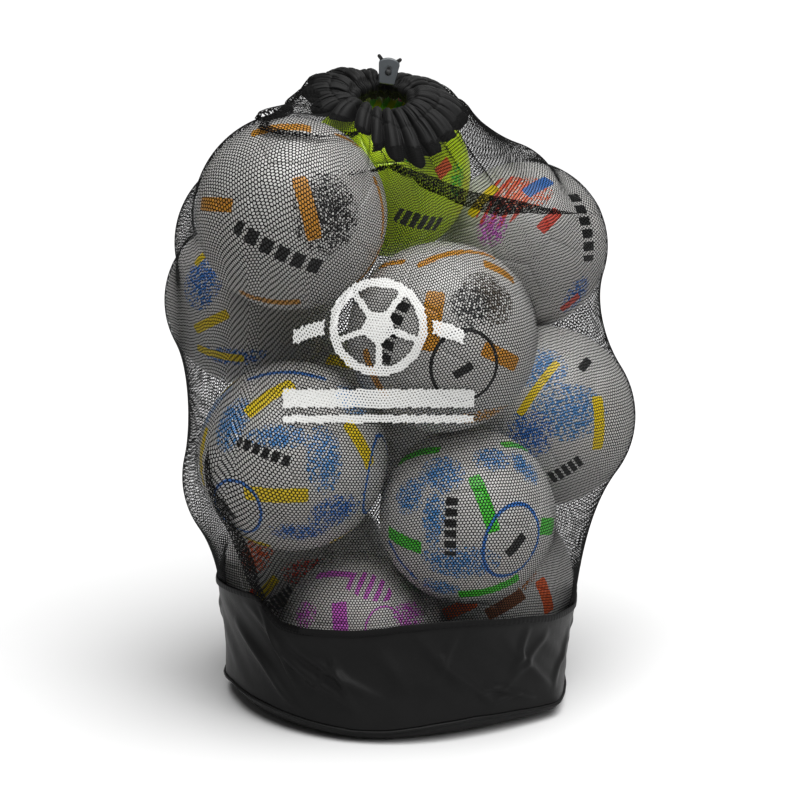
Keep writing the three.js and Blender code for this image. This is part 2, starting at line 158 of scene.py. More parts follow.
def new_material(name, **surface):
    """A material with one Principled shader. Keys are its sockets, with _ for a space."""
    material = bpy.data.materials.new(name)
    material.use_nodes = True
    tree = material.node_tree
    shader = tree.nodes["Principled BSDF"]
    for key, value in surface.items():
        shader.inputs[key.replace("_", " ")].default_value = value
    return material, tree, shader


def math_node(tree, operation, first, second=0.0):
    """The result of one sum on two values or sockets."""
    return add_node(tree, "ShaderNodeMath", {0: first, 1: second}, operation=operation).outputs[0]


def mix_colour(tree, share, first, second):
    """Blends from the first colour to the second by a share from 0 to 1."""
    return add_node(
        tree, "ShaderNodeMix", {0: share, 6: first, 7: second}, data_type="RGBA"
    ).outputs[2]


def noise(tree, place, scale, **more):
    """Smooth noise from 0 to 1. Keys are the node's other sockets."""
    sockets = {"Vector": place, "Scale": scale, **more}
    return add_node(tree, "ShaderNodeTexNoise", sockets).outputs[0]


def bump(tree, height, strength, millimetres, **more):
    """The normal of a surface that the height raises by so many millimetres."""
    sockets = {"Height": height, "Strength": strength, "Distance": millimetres * MM, **more}
    return add_node(tree, "ShaderNodeBump", sockets).outputs[0]


# ---- Meshes ----


def grid_faces(rows, columns, close_rows=False, close_columns=False):
    """Quads of a grid of points: each joins a point to the next in its row and the row above."""
    row = np.arange(rows if close_rows else rows - 1)[:, None]
    column = np.arange(columns if close_columns else columns - 1)[None, :]
    up, on = (row + 1) % rows, (column + 1) % columns
    low, high = row * columns, up * columns
    corners = np.broadcast_arrays(low + column, low + on, high + on, high + column)
    return np.stack(corners, -1).reshape(-1, 4)


def grid_uv(rows, columns, width, height, close_rows=False, close_columns=False):
    """The UV of each quad's corners, from millimetres of flat cloth, with no jump at a seam."""
    row = np.arange(rows if close_rows else rows - 1)[:, None]
    column = np.arange(columns if close_columns else columns - 1)[None, :]
    row, column = np.broadcast_arrays(row, column)
    u = np.stack([column, column + 1, column + 1, column], -1)
    v = np.stack([row, row, row + 1, row + 1], -1)
    across = width / (columns if close_columns else columns - 1)
    along = height / (rows if close_rows else rows - 1)
    return np.stack([u * across, v * along], -1).reshape(-1, 2) * MM


def make_piece(name, points, faces, materials, uv=None, chosen=None, body="root"):
    """A mesh from points in millimetres and equal faces, riding on a body. uv is per corner."""
    mesh = bpy.data.meshes.new(name)
    mesh.from_pydata(np.asarray(points, np.float32) * MM, [], faces)
    if uv is not None:
        mesh.uv_layers.new(name="cloth").data.foreach_set("uv", uv.astype(np.float32).ravel())
    for material in materials:
        mesh.materials.append(material)
    if chosen is not None:
        mesh.polygons.foreach_set("material_index", chosen.astype(np.int32))
    mesh.polygons.foreach_set("use_smooth", np.ones(len(faces), bool))
    mesh.update()
    piece = bpy.data.objects.new(name, mesh)
    bpy.context.scene.collection.objects.link(piece)
    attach(piece, body)
    return piece


def ring_piece(name, rings, material, across, along, body="root"):
    """A piece of closed rings, rings[row, column], the last one joined to the first. Its UV is as
    many millimetres across and along as given."""
    rows, columns = rings.shape[:2]
    faces = grid_faces(rows, columns, close_rows=True, close_columns=True)
    uv = grid_uv(rows, columns, across, along, close_rows=True, close_columns=True)
    return make_piece(name, rings.reshape(-1, 3), faces, [material], uv=uv, body=body)


def tube(route, radius, sides):
    """A round tube: a circle carried along the route, square to it, with the least twist."""
    route = np.asarray(route, float)
    along = np.gradient(route, axis=0)
    along /= np.linalg.norm(along, axis=1, keepdims=True)
    side = np.zeros_like(route)
    helper = np.cross(along[0], (0.3, 0.9, 0.2))
    for i, direction in enumerate(along):
        helper = helper - direction * (helper @ direction)
        helper /= np.linalg.norm(helper)
        side[i] = helper
    other = np.cross(along, side)
    angle = np.linspace(0, 2 * np.pi, sides, endpoint=False)[None, :, None]
    width = np.broadcast_to(np.asarray(radius, float), (len(route),))[:, None, None]
    ring = side[:, None] * np.cos(angle) + other[:, None] * np.sin(angle)
    return route[:, None] + width * ring


def smooth_route(points, count):
    """A smooth line through the points, with equal steps: a Catmull-Rom curve."""
    p = np.asarray(points, float)
    p = np.vstack([2 * p[0] - p[1], p, 2 * p[-1] - p[-2]])
    knots = np.linspace(0, len(p) - 3 - 1e-9, count * 6)
    k = knots.astype(int)
    t = (knots - k)[:, None]
    a, b, c, d = p[k], p[k + 1], p[k + 2], p[k + 3]
    line = 0.5 * (2 * b + (c - a) * t + (2 * a - 5 * b + 4 * c - d) * t**2
                  + (3 * b - a - 3 * c + d) * t**3)
    return even_steps(line[None], count)[0]


def even_steps(paths, count, start=None, stop=None):
    """Walks each path at equal steps of its own length, from start to stop millimetres along it."""
    steps = np.linalg.norm(np.diff(paths, axis=1), axis=2)
    length = np.concatenate([np.zeros((len(paths), 1)), np.cumsum(steps, 1)], 1)
    start = np.zeros(len(paths)) if start is None else start
    stop = length[:, -1] if stop is None else stop
    wanted = start[:, None] + (stop - start)[:, None] * np.linspace(0, 1, count)
    wanted = np.clip(wanted, 0, length[:, -1:] - 1e-6)
    apart = length.max() + 1
    shift = apart * np.arange(len(paths))[:, None]
    index = np.searchsorted((length + shift).ravel(), (wanted + shift).ravel(), side="right") - 1
    column, low = np.divmod(index, paths.shape[1])
    low = np.minimum(low, paths.shape[1] - 2)
    share = (wanted.ravel() - length[column, low]) / np.maximum(steps[column, low], 1e-9)
    points = paths[column, low] + share[:, None] * (paths[column, low + 1] - paths[column, low])
    return points.reshape(len(paths), count, 3)


def path_lengths(paths):
    """How long each path is."""
    return np.linalg.norm(np.diff(paths, axis=1), axis=2).sum(1)


def smoothstep(x, low, high):
    """A smooth rise from 0 at low to 1 at high: three times the share squared, less twice the
    share cubed."""
    t = np.clip((x - low) / (high - low), 0, 1)
    return t * t * (3 - 2 * t)


# ---- The drape of the cloth over the balls ----


def push_out(points, obstacles, gap):
    """Moves each point that is inside a ball to just outside it."""
    for centre, radius in obstacles:
        offset = points - np.array(centre, float)
        distance = np.linalg.norm(offset, axis=-1, keepdims=True)
        inside = distance < radius + gap
        points = np.where(inside, np.array(centre) + offset / distance * (radius + gap), points)
    return points


def casing_edge(angle):
    """The collar's outer edge: a circle that lies higher at the back and on the left."""
    rise = -13 * np.cos(angle) + 33 * np.sin(angle) + 8 * np.cos(2 * angle)
    edge = CASING_CENTRE + np.stack(
        [CASING_RADIUS * np.cos(angle), CASING_RADIUS * np.sin(angle), rise], -1
    )
    return push_out(edge, BALLS.values(), CASING_TO_BALL)


def mouth_ring(angle, radius=DRAWSTRING_RING_RADIUS):
    """A circle round the mouth, which leans to the front."""
    side = np.stack([np.cos(angle), np.sin(angle) * math.cos(MOUTH_TILT),
                     np.sin(angle) * math.sin(MOUTH_TILT)], -1)
    return MOUTH + np.asarray(radius)[..., None] * side


def outward(sheet):
    """The unit normals of a sheet of closed rings, sheet[row, column], facing out."""
    along = np.roll(sheet, -1, 1) - np.roll(sheet, 1, 1)
    normal = np.cross(along, np.gradient(sheet, axis=0))
    return normal / np.maximum(np.linalg.norm(normal, axis=-1, keepdims=True), 1e-9)


def path_normals(paths):
    """The unit normals of a sheet given as paths[column, step], facing out."""
    return np.swapaxes(outward(np.swapaxes(paths, 0, 1)), 0, 1)


def turn_angle(columns):
    """The angle of each of so many columns round the bag."""
    return np.arange(columns) / columns * 2 * np.pi


def smooth_ring(values, times=6):
    """Evens out a ring of values."""
    for _ in range(times):
        values = (np.roll(values, 1) + 2 * values + np.roll(values, -1)) / 4
    return values


def ring_table(degrees, values, angle, times):
    """Values given at a few degrees round the bag, evened out and read at the angles."""
    fine = np.arange(720) / 2
    even = smooth_ring(np.interp(fine, degrees, values, period=360), times)
    return np.interp(np.degrees(angle), fine, even, period=360)


def finer(sheet):
    """Twice the rows and columns of a sheet of closed rings, with the new points half-way."""
    between = (sheet + np.roll(sheet, -1, 1)) / 2
    wide = np.stack([sheet, between], 2).reshape(len(sheet), -1, 3)
    tall = np.empty((2 * len(wide) - 1, *wide.shape[1:]))
    tall[::2] = wide
    tall[1::2] = (wide[1:] + wide[:-1]) / 2
    return tall


def seam_stray(angle):
    """How far the base's seam lies outside its circle, and how far above its own height."""
    degrees, out, up = np.array(SEAM_SHAPE, float).T
    return tuple(ring_table(degrees, part, angle, 10) for part in (out, up))


def seam_ring(angle):
    """The line where the band meets the base."""
    out, up = seam_stray(angle)
    radius = BASE_RADIUS - 1.9 + out
    return np.stack([radius * np.cos(angle), radius * np.sin(angle), 13 + up], -1)


@functools.lru_cache(maxsize=None)
def draped_cloth():
    """The bag's cloth as sheet[row, column], drawn in over the balls from outside.
    Each point moves to a middle of its four neighbours and a little outwards, and stays
    out of the balls; the sheet is then made twice as fine three times over."""
    rows = BAND_ROWS + NET_ROWS
    angle = turn_angle(COLUMNS)
    low = seam_ring(angle)
    height = np.linspace(0, 1, rows + 1)[:, None, None]
    bulge = START_BULGE * np.sin(np.pi * height) * np.array([1, 1, 0]) * low / BASE_RADIUS
    sheet = low * (1 - height) + casing_edge(angle) * height + bulge
    full, band_row = FULLNESS, BAND_ROWS
    for steps in DRAPE_STEPS:
        for _ in range(steps):
            beside = (np.roll(sheet, 1, 1) + np.roll(sheet, -1, 1))[1:-1] / 4
            above = (sheet[:-2] + sheet[2:]) / 4
            moved = beside + above + full * outward(sheet)[1:-1]
            moved[band_row - 1, :, 2] = BAND_HEIGHT
            moved = push_out(moved, BALLS.values(), NET_TO_BALL)
            sheet[1:-1] = push_out(moved, LOOSE_NET, 0)
        if steps > DRAPE_STEPS[-1]:
            sheet = finer(sheet)
            angle = turn_angle(sheet.shape[1])
            sheet[0] = seam_ring(angle)
            sheet[-1] = casing_edge(angle)
            full, band_row = full / 4, band_row * 2
    return sheet


def wave(angle, *terms):
    """A sum of waves round the bag. Each term is (how many, how high, phase)."""
    return sum(high * np.sin(many * angle + phase) for many, high, phase in terms)


def folds_between(angle, valleys):
    """Rounded folds with sharp valleys between them: how high each point lies, from 0 to 1, and
    how wide its fold is. Across a fold the height is a sine, raised to a power under one."""
    valley = np.radians(np.concatenate([[valleys[-1] - 360], valleys, [valleys[0] + 360]]))
    turn = np.mod(angle, 2 * np.pi)
    index = np.clip(np.searchsorted(valley, turn, side="right") - 1, 0, len(valley) - 2)
    width = valley[index + 1] - valley[index]
    return np.sin(np.pi * (turn - valley[index]) / width) ** 0.6, width


# Where the collar's broad folds meet, in degrees round the bag, and the fine ruffles' valleys.
BROAD_VALLEYS = (28, 60, 80, 95, 116, 146, 172, 193, 214, 234, 253, 269, 285, 301, 319, 338)
RUFFLES = 64
ROLL_RADIUS = 3.9


def crease_valleys(count, seed):
    """Where small folds meet: so many places round the bag, unevenly apart."""
    gaps = np.random.default_rng(seed).uniform(0.5, 1.5, count)
    return tuple(np.cumsum(gaps) / gaps.sum() * 360 - 0.5)


def resample_round(paths, columns):
    """The same closed set of paths with another number of them, joined by straight lines."""
    at = np.arange(columns) / columns * len(paths)
    low = at.astype(int)
    share = (at - low)[:, None, None]
    return paths[low % len(paths)] * (1 - share) + paths[(low + 1) % len(paths)] * share


# How far above the base's seam the band's top edge lies along the cloth: degrees, then mm.
BAND_EDGE = ((0, 92), (20, 90), (60, 106), (120, 120), (165, 113), (185, 117), (199, 123),
             (213, 131), (221, 135), (226, 126), (230, 110), (238, 108), (252, 115), (272, 123),
             (292, 121), (316, 112), (342, 98))


def band_top(angle):
    """The height of the band's top edge along the cloth, smoothed between the given points."""
    return ring_table(*np.array(BAND_EDGE, float).T, angle, 12)


# Folds of net laid over itself across the columns: each one's line as (degrees, height in mm),
# and its depth along the line as (degrees, mm).
FOLDS = (
    (((214, 652), (240, 663), (276, 662), (293, 646), (319, 618), (357, 597), (396, 561)),
     ((214, 0), (232, 2), (270, 3), (300, 15), (330, 16), (360, 9), (396, 0))),
    (((176, 719), (209, 711), (228, 702), (244, 694)),
     ((176, 0), (190, 6), (215, 9), (232, 6), (244, 0))),
)
# Pleats that run up the net: each line as (height in mm, degrees), its depth in mm, and how
# many columns it draws on to either side.
PLEATS = (
    (((118, 231), (180, 223), (254, 224), (345, 219)), 11, 32),
)


def at_lengths(paths, lengths, wanted):
    """The points of the paths at the wanted distances along them."""
    steps = paths.shape[1] - 1
    share = np.clip(wanted / lengths[:, None], 0, 1) * steps
    low = np.minimum(share.astype(int), steps - 1)
    column = np.arange(len(paths))[:, None]
    t = (share - low)[..., None]
    return paths[column, low] * (1 - t) + paths[column, low + 1] * t


FOLD_STAND = 3.0  # mm that each layer of a fold stands out of the one below
FOLD_BLEND = 7  # mm to either side of a fold's edge in which the layer rises
FOLD_FADE = (5, 80)  # mm past the fold between which it comes back to the drape


def fold_over(paths, normals, middle, deep):
    """Doubles the cloth over along a line: the walk goes past the line's middle, back under it,
    and on again outside itself, three and six millimetres further out."""
    lengths = path_lengths(paths)
    walk = (lengths + 4 * deep)[:, None] * np.linspace(0, 1, paths.shape[1])
    m, d = middle[:, None], deep[:, None]
    back = 2 * (m + d) - walk
    wanted = np.where(walk < m + d, walk, np.where(walk < m + 3 * d, back, walk - 4 * d))
    sheet = at_lengths(paths, lengths, wanted)
    normal = at_lengths(normals, lengths, wanted)
    stand = np.minimum(d / 5, 1) * FOLD_STAND
    out = 0
    for edge in (m + d, m + 3 * d):
        out = out + stand * smoothstep(walk, edge - FOLD_BLEND, edge + FOLD_BLEND)
    near, far = (m + 5 * d + past for past in FOLD_FADE)
    out = out * (1 - smoothstep(walk, near, far))
    return sheet + normal * out[..., None]


def fold_across(paths, line, depth):
    """Lays the net over itself along a line across the columns."""
    angle = turn_angle(len(paths))
    degrees, height = np.array(line, float).T
    turn = (np.degrees(angle) - degrees[0]) % 360 + degrees[0]
    near = np.argmin(np.abs(paths[..., 2] - np.interp(turn, degrees, height)[:, None]), axis=1)
    middle = smooth_ring(near / (paths.shape[1] - 1) * path_lengths(paths))
    deep = smooth_ring(np.interp(turn, *np.array(depth, float).T, right=0))
    return fold_over(paths, path_normals(paths), middle, deep)


def pleat(paths, line, depth, reach):
    """Pleats the net along a line that runs up its rows. Only the columns near it change, and
    they walk its extra cloth between them."""
    height, degrees = np.array(line, float).T
    middle_column = int(np.mean(degrees) / 360 * len(paths))
    chosen = slice(middle_column - reach, middle_column + reach + 1)
    rows, row_normals = (
        np.swapaxes(part[chosen], 0, 1) for part in (paths, path_normals(paths))
    )
    z = rows[:, reach, 2]
    column = np.interp(z, height, degrees) / 360 * len(paths) - (middle_column - reach)
    middle = column / (2 * reach) * path_lengths(rows)
    tail = 0.1 * (height[-1] - height[0])
    share = np.clip((z - height[0] + tail) / (height[-1] - height[0] + tail), 0, 1)
    deep = depth * np.sin(np.pi * share) ** 0.7
    folded = fold_over(rows, row_normals, middle, deep)
    return np.concatenate([paths[: chosen.start], np.swapaxes(folded, 0, 1), paths[chosen.stop :]])


# ---- Net ----

NET_PITCH = 4.5  # from one hole to the next, on the net's own UV
NET_ROW_PITCH = NET_PITCH * 0.866
NET_COLUMNS = 384
NET_CELL_ROWS = 198
NET_STEPS = 400  # along each path while the net is folded
UNDER_COLLAR = 26  # how far the net runs on under the collar's hem
NET_SECTORS = 6


@functools.lru_cache(maxsize=None)
def net_sheet():
    """The net's surface as paths[column, step]: the draped cloth above the band, with folds laid
    over and with gathers that run down from the collar and fade."""
    paths = np.swapaxes(draped_cloth(), 0, 1)
    angle = turn_angle(len(paths))
    paths = even_steps(paths, NET_STEPS, band_top(angle) - 4, path_lengths(paths))
    for line, depth in FOLDS:
        paths = even_steps(fold_across(paths, line, depth), NET_STEPS)
    for line, depth, reach in PLEATS:
        paths = pleat(paths, line, depth, reach)
    inwards = mouth_ring(angle, np.full(len(angle), DRAWSTRING_RING_RADIUS)) - paths[:, -1]
    inwards /= np.linalg.norm(inwards, axis=1, keepdims=True)
    run = np.linspace(0, UNDER_COLLAR, 14)[None, 1:, None]
    paths = np.concatenate([paths, paths[:, -1:] + inwards[:, None] * run], 1)
    steps = NET_CELL_ROWS * 2
    paths = even_steps(paths, steps)
    from_top = path_lengths(paths)[:, None] * np.linspace(1, 0, steps) - UNDER_COLLAR
    reach = 70 + wave(angle, (4, 16, 1.0), (9, 14, 0.2), (14, 10, 2.2))
    strength = np.exp(-((np.maximum(from_top, 0) / reach[:, None]) ** 1.4))
    strength = strength * smoothstep(from_top, -UNDER_COLLAR, -4)
    broad, width = folds_between(angle, BROAD_VALLEYS)
    fine, _ = folds_between(angle, crease_valleys(RUFFLES, 7))
    near = np.exp(-((np.maximum(from_top, 0) / 14) ** 2))
    stand = strength * (np.minimum(width * 24, 9) * broad)[:, None]
    stand = stand + near * (1.6 * fine)[:, None]
    return paths + path_normals(paths) * stand[..., None]


# The six corners of a net cell about its middle: in columns, then in rows.
CELL_CORNERS = np.array(
    [(0.5, -1 / 3), (0.5, 1 / 3), (0, 2 / 3), (-0.5, 1 / 3), (-0.5, -1 / 3), (0, -2 / 3)]
)
HOLE_SHARE = 0.69  # how far from a cell's middle to its corner the hole reaches
INKED_HOLE_SHARE = 0.46
THREAD_RELIEF = 0.35  # mm by which the threads stand out of the holes' rims


def at_grid(paths, column, row):
    """Points between the grid's own, joined by straight lines; columns go round."""
    c0 = np.floor(column).astype(int)
    r0 = np.clip(np.floor(row).astype(int), 0, paths.shape[1] - 2)
    s, t = (column - c0)[..., None], (row - r0)[..., None]
    c0, c1 = c0 % len(paths), (c0 + 1) % len(paths)
    low = paths[c0, r0] * (1 - s) + paths[c1, r0] * s
    return low * (1 - t) + (paths[c0, r0 + 1] * (1 - s) + paths[c1, r0 + 1] * s) * t


# The plain print: its place as seen from the front, and its strokes' sizes.
PRINT_PLACE = (-17, 432)
PRINT_RING, PRINT_PENTAGON = 50, 17  # how far out from the middle they lie
RING_HALF_WIDTH, SPOKE_HALF_WIDTH = 5.5, 4.2
SIDE_STROKE = (60, 96)  # from the middle to its two ends
BAR_HALF_LENGTH = 108
BARS = ((80, 11), (103, 5))  # each one's depth below the middle, and its half-width


def printed(point):
    """Whether a point of the net carries white ink: a plain ball of a ring, a pentagon and five
    spokes, with a curved stroke at either side, over two level bars, all seen from the front."""
    x = point[..., 0] - PRINT_PLACE[0]
    z = (point[..., 2] * math.cos(CAMERA_RISE) + point[..., 1] * math.sin(CAMERA_RISE)
         - PRINT_PLACE[1])
    r = np.hypot(x, z)
    fifth = 2 * np.pi / 5
    turn = (np.arctan2(x, z) + fifth / 2) % fifth - fifth / 2
    opposite = (np.arctan2(x, z) + fifth) % fifth - fifth / 2
    pentagon = r * np.cos(turn) < PRINT_PENTAGON
    spoke = np.abs(r * np.sin(opposite)) < SPOKE_HALF_WIDTH
    spoke = spoke & (r > PRINT_PENTAGON) & (r < PRINT_RING)
    ring = np.abs(r - PRINT_RING) < RING_HALF_WIDTH
    near, far = SIDE_STROKE
    stroke = (np.abs(z + 0.0022 * x**2 - 8) < 9) & (np.abs(x) > near) & (np.abs(x) < far)
    bars = np.any([np.abs(z + down) < wide for down, wide in BARS], axis=0)
    bars = bars & (np.abs(x) < BAR_HALF_LENGTH)
    return (point[..., 1] < 0) & (pentagon | spoke | ring | stroke | bars)


def net_sector(sector, thread, ink):
    """One upright sector of the net. Each cell is a ring of six quads between its six corners,
    which it shares with its neighbours, and a hole drawn in towards its middle."""
    paths = net_sheet()
    per = NET_COLUMNS // NET_SECTORS
    row, column = np.meshgrid(np.arange(NET_CELL_ROWS - 1), np.arange(per), indexing="ij")
    row, column = row.ravel(), column.ravel() + sector * per
    centre = np.stack([column + 0.5 * (row % 2), row + 0.5], -1)
    corner = centre[:, None] + CELL_CORNERS
    at_corner = at_grid(paths, corner[..., 0], np.clip(corner[..., 1] * 2, 0, paths.shape[1] - 2))
    inked = printed(at_corner)
    share = np.where(inked, INKED_HOLE_SHARE, HOLE_SHARE)[..., None]
    hole = centre[:, None] + CELL_CORNERS * share
    key = np.round(corner.reshape(-1, 2) * [2, 3]).astype(int)
    unique, index = np.unique(key, axis=0, return_inverse=True)
    index = index.reshape(-1, 6)
    outer = unique / [2, 3]
    count = len(outer)
    flat = np.concatenate([outer, hole.reshape(-1, 2)])
    last = paths.shape[1] - 1.001
    across, at_row = flat[:, 0], np.clip(flat[:, 1] * 2, 0, last)
    points = at_grid(paths, across, at_row)
    up = (at_grid(paths, across, np.minimum(at_row + 1, last))
          - at_grid(paths, across, np.maximum(at_row - 1, 0)))
    side = at_grid(paths, across + 0.5, at_row) - at_grid(paths, across - 0.5, at_row)
    normal = np.cross(side, up)
    normal /= np.maximum(np.linalg.norm(normal, axis=1, keepdims=True), 1e-9)
    points[:count] += normal[:count] * THREAD_RELIEF
    inner = count + np.arange(len(centre) * 6).reshape(-1, 6)
    faces = np.stack(
        [index, np.roll(index, -1, 1), np.roll(inner, -1, 1), inner], -1
    ).reshape(-1, 4)
    uv = flat[faces.ravel()] * [NET_PITCH, NET_ROW_PITCH] * MM
    chosen = (inked & np.roll(inked, -1, 1)).ravel()
    return make_piece(
        f"net_{sector + 1}", points, faces, [thread, ink], uv=uv, chosen=chosen
    )


# ---- Balls ----


def panel_corners():
    """The 12 pentagons and 20 hexagons of a football, as unit corners in order round each."""
    g = (1 + math.sqrt(5)) / 2
    raw = []
    for a, b, c in ((0, 1, 3 * g), (1, 2 + g, 2 * g), (g, 2, 2 * g + 1)):
        for sa in (1, -1):
            for sb in (1, -1):
                for sc in (1, -1):
                    p = (a * sa, b * sb, c * sc)
                    raw += [p, (p[1], p[2], p[0]), (p[2], p[0], p[1])]
    corners = np.unique(np.round(np.array(raw, float), 6), axis=0)
    middles = []
    for sign in (1, -1):
        for other in (1, -1):
            p = (0, sign, other * g)
            middles += [p, (p[1], p[2], p[0]), (p[2], p[0], p[1])]
            q = (0, sign * g, other / g)
            middles += [q, (q[1], q[2], q[0]), (q[2], q[0], q[1])]
    middles += [(x, y, z) for x in (1, -1) for y in (1, -1) for z in (1, -1)]
    panels = []
    for middle in np.array(middles, float):
        axis = middle / np.linalg.norm(middle)
        height = corners @ axis
        ring = corners[height > height.max() - 1e-3]
        side = ring[0] - axis * (ring[0] @ axis)
        side /= np.linalg.norm(side)
        turn = np.arctan2(ring @ np.cross(axis, side), ring @ side)
        panels.append(ring[np.argsort(turn)] / np.linalg.norm(ring[0]))
    return panels


SEAM_STEPS = np.array([0.0, 0.35, 0.62, 0.82, 0.925, 0.965, 0.985, 1.0])
SEAM_DEPTHS = np.array([0.0, 0.0, 0.0, 0.03, 0.12, 0.45, 1.1, 1.7])  # mm below the ball's surface
EDGE_STEPS = 8


def ball_mesh(radius):
    """A football of 32 panels. Each panel is a fan from its middle to its edges, put on the
    sphere, and it curves down into the seam along its edges."""
    points, faces, start = [], [], 0
    for panel in panel_corners():
        nexts = np.roll(panel, -1, 0)
        share = np.arange(EDGE_STEPS)[None, :, None] / EDGE_STEPS
        edge = (panel[:, None] * (1 - share) + nexts[:, None] * share).reshape(-1, 3)
        middle = panel.mean(0)
        ring = middle + SEAM_STEPS[1:, None, None] * (edge - middle)
        ring /= np.linalg.norm(ring, axis=2, keepdims=True)
        ring = ring * (radius - SEAM_DEPTHS[1:])[:, None, None]
        sides = edge.shape[0]
        points += [ring.reshape(-1, 3), (middle / np.linalg.norm(middle) * radius)[None]]
        quads = grid_faces(len(ring), sides, close_columns=True)[:, ::-1] + start
        hub = start + len(ring) * sides
        first = np.arange(sides) + start
        fan = np.stack([np.full(sides, hub), first, np.roll(first, -1)], -1)
        faces += [quads.tolist(), fan.tolist()]
        start = hub + 1
    points = np.concatenate(points)
    faces = [face for group in faces for face in group]
    key = np.round(points, 2)
    _, first, inverse = np.unique(key, axis=0, return_index=True, return_inverse=True)
    inverse = inverse.ravel()
    faces = [[int(inverse[i]) for i in face] for face in faces]
    return points[first], faces


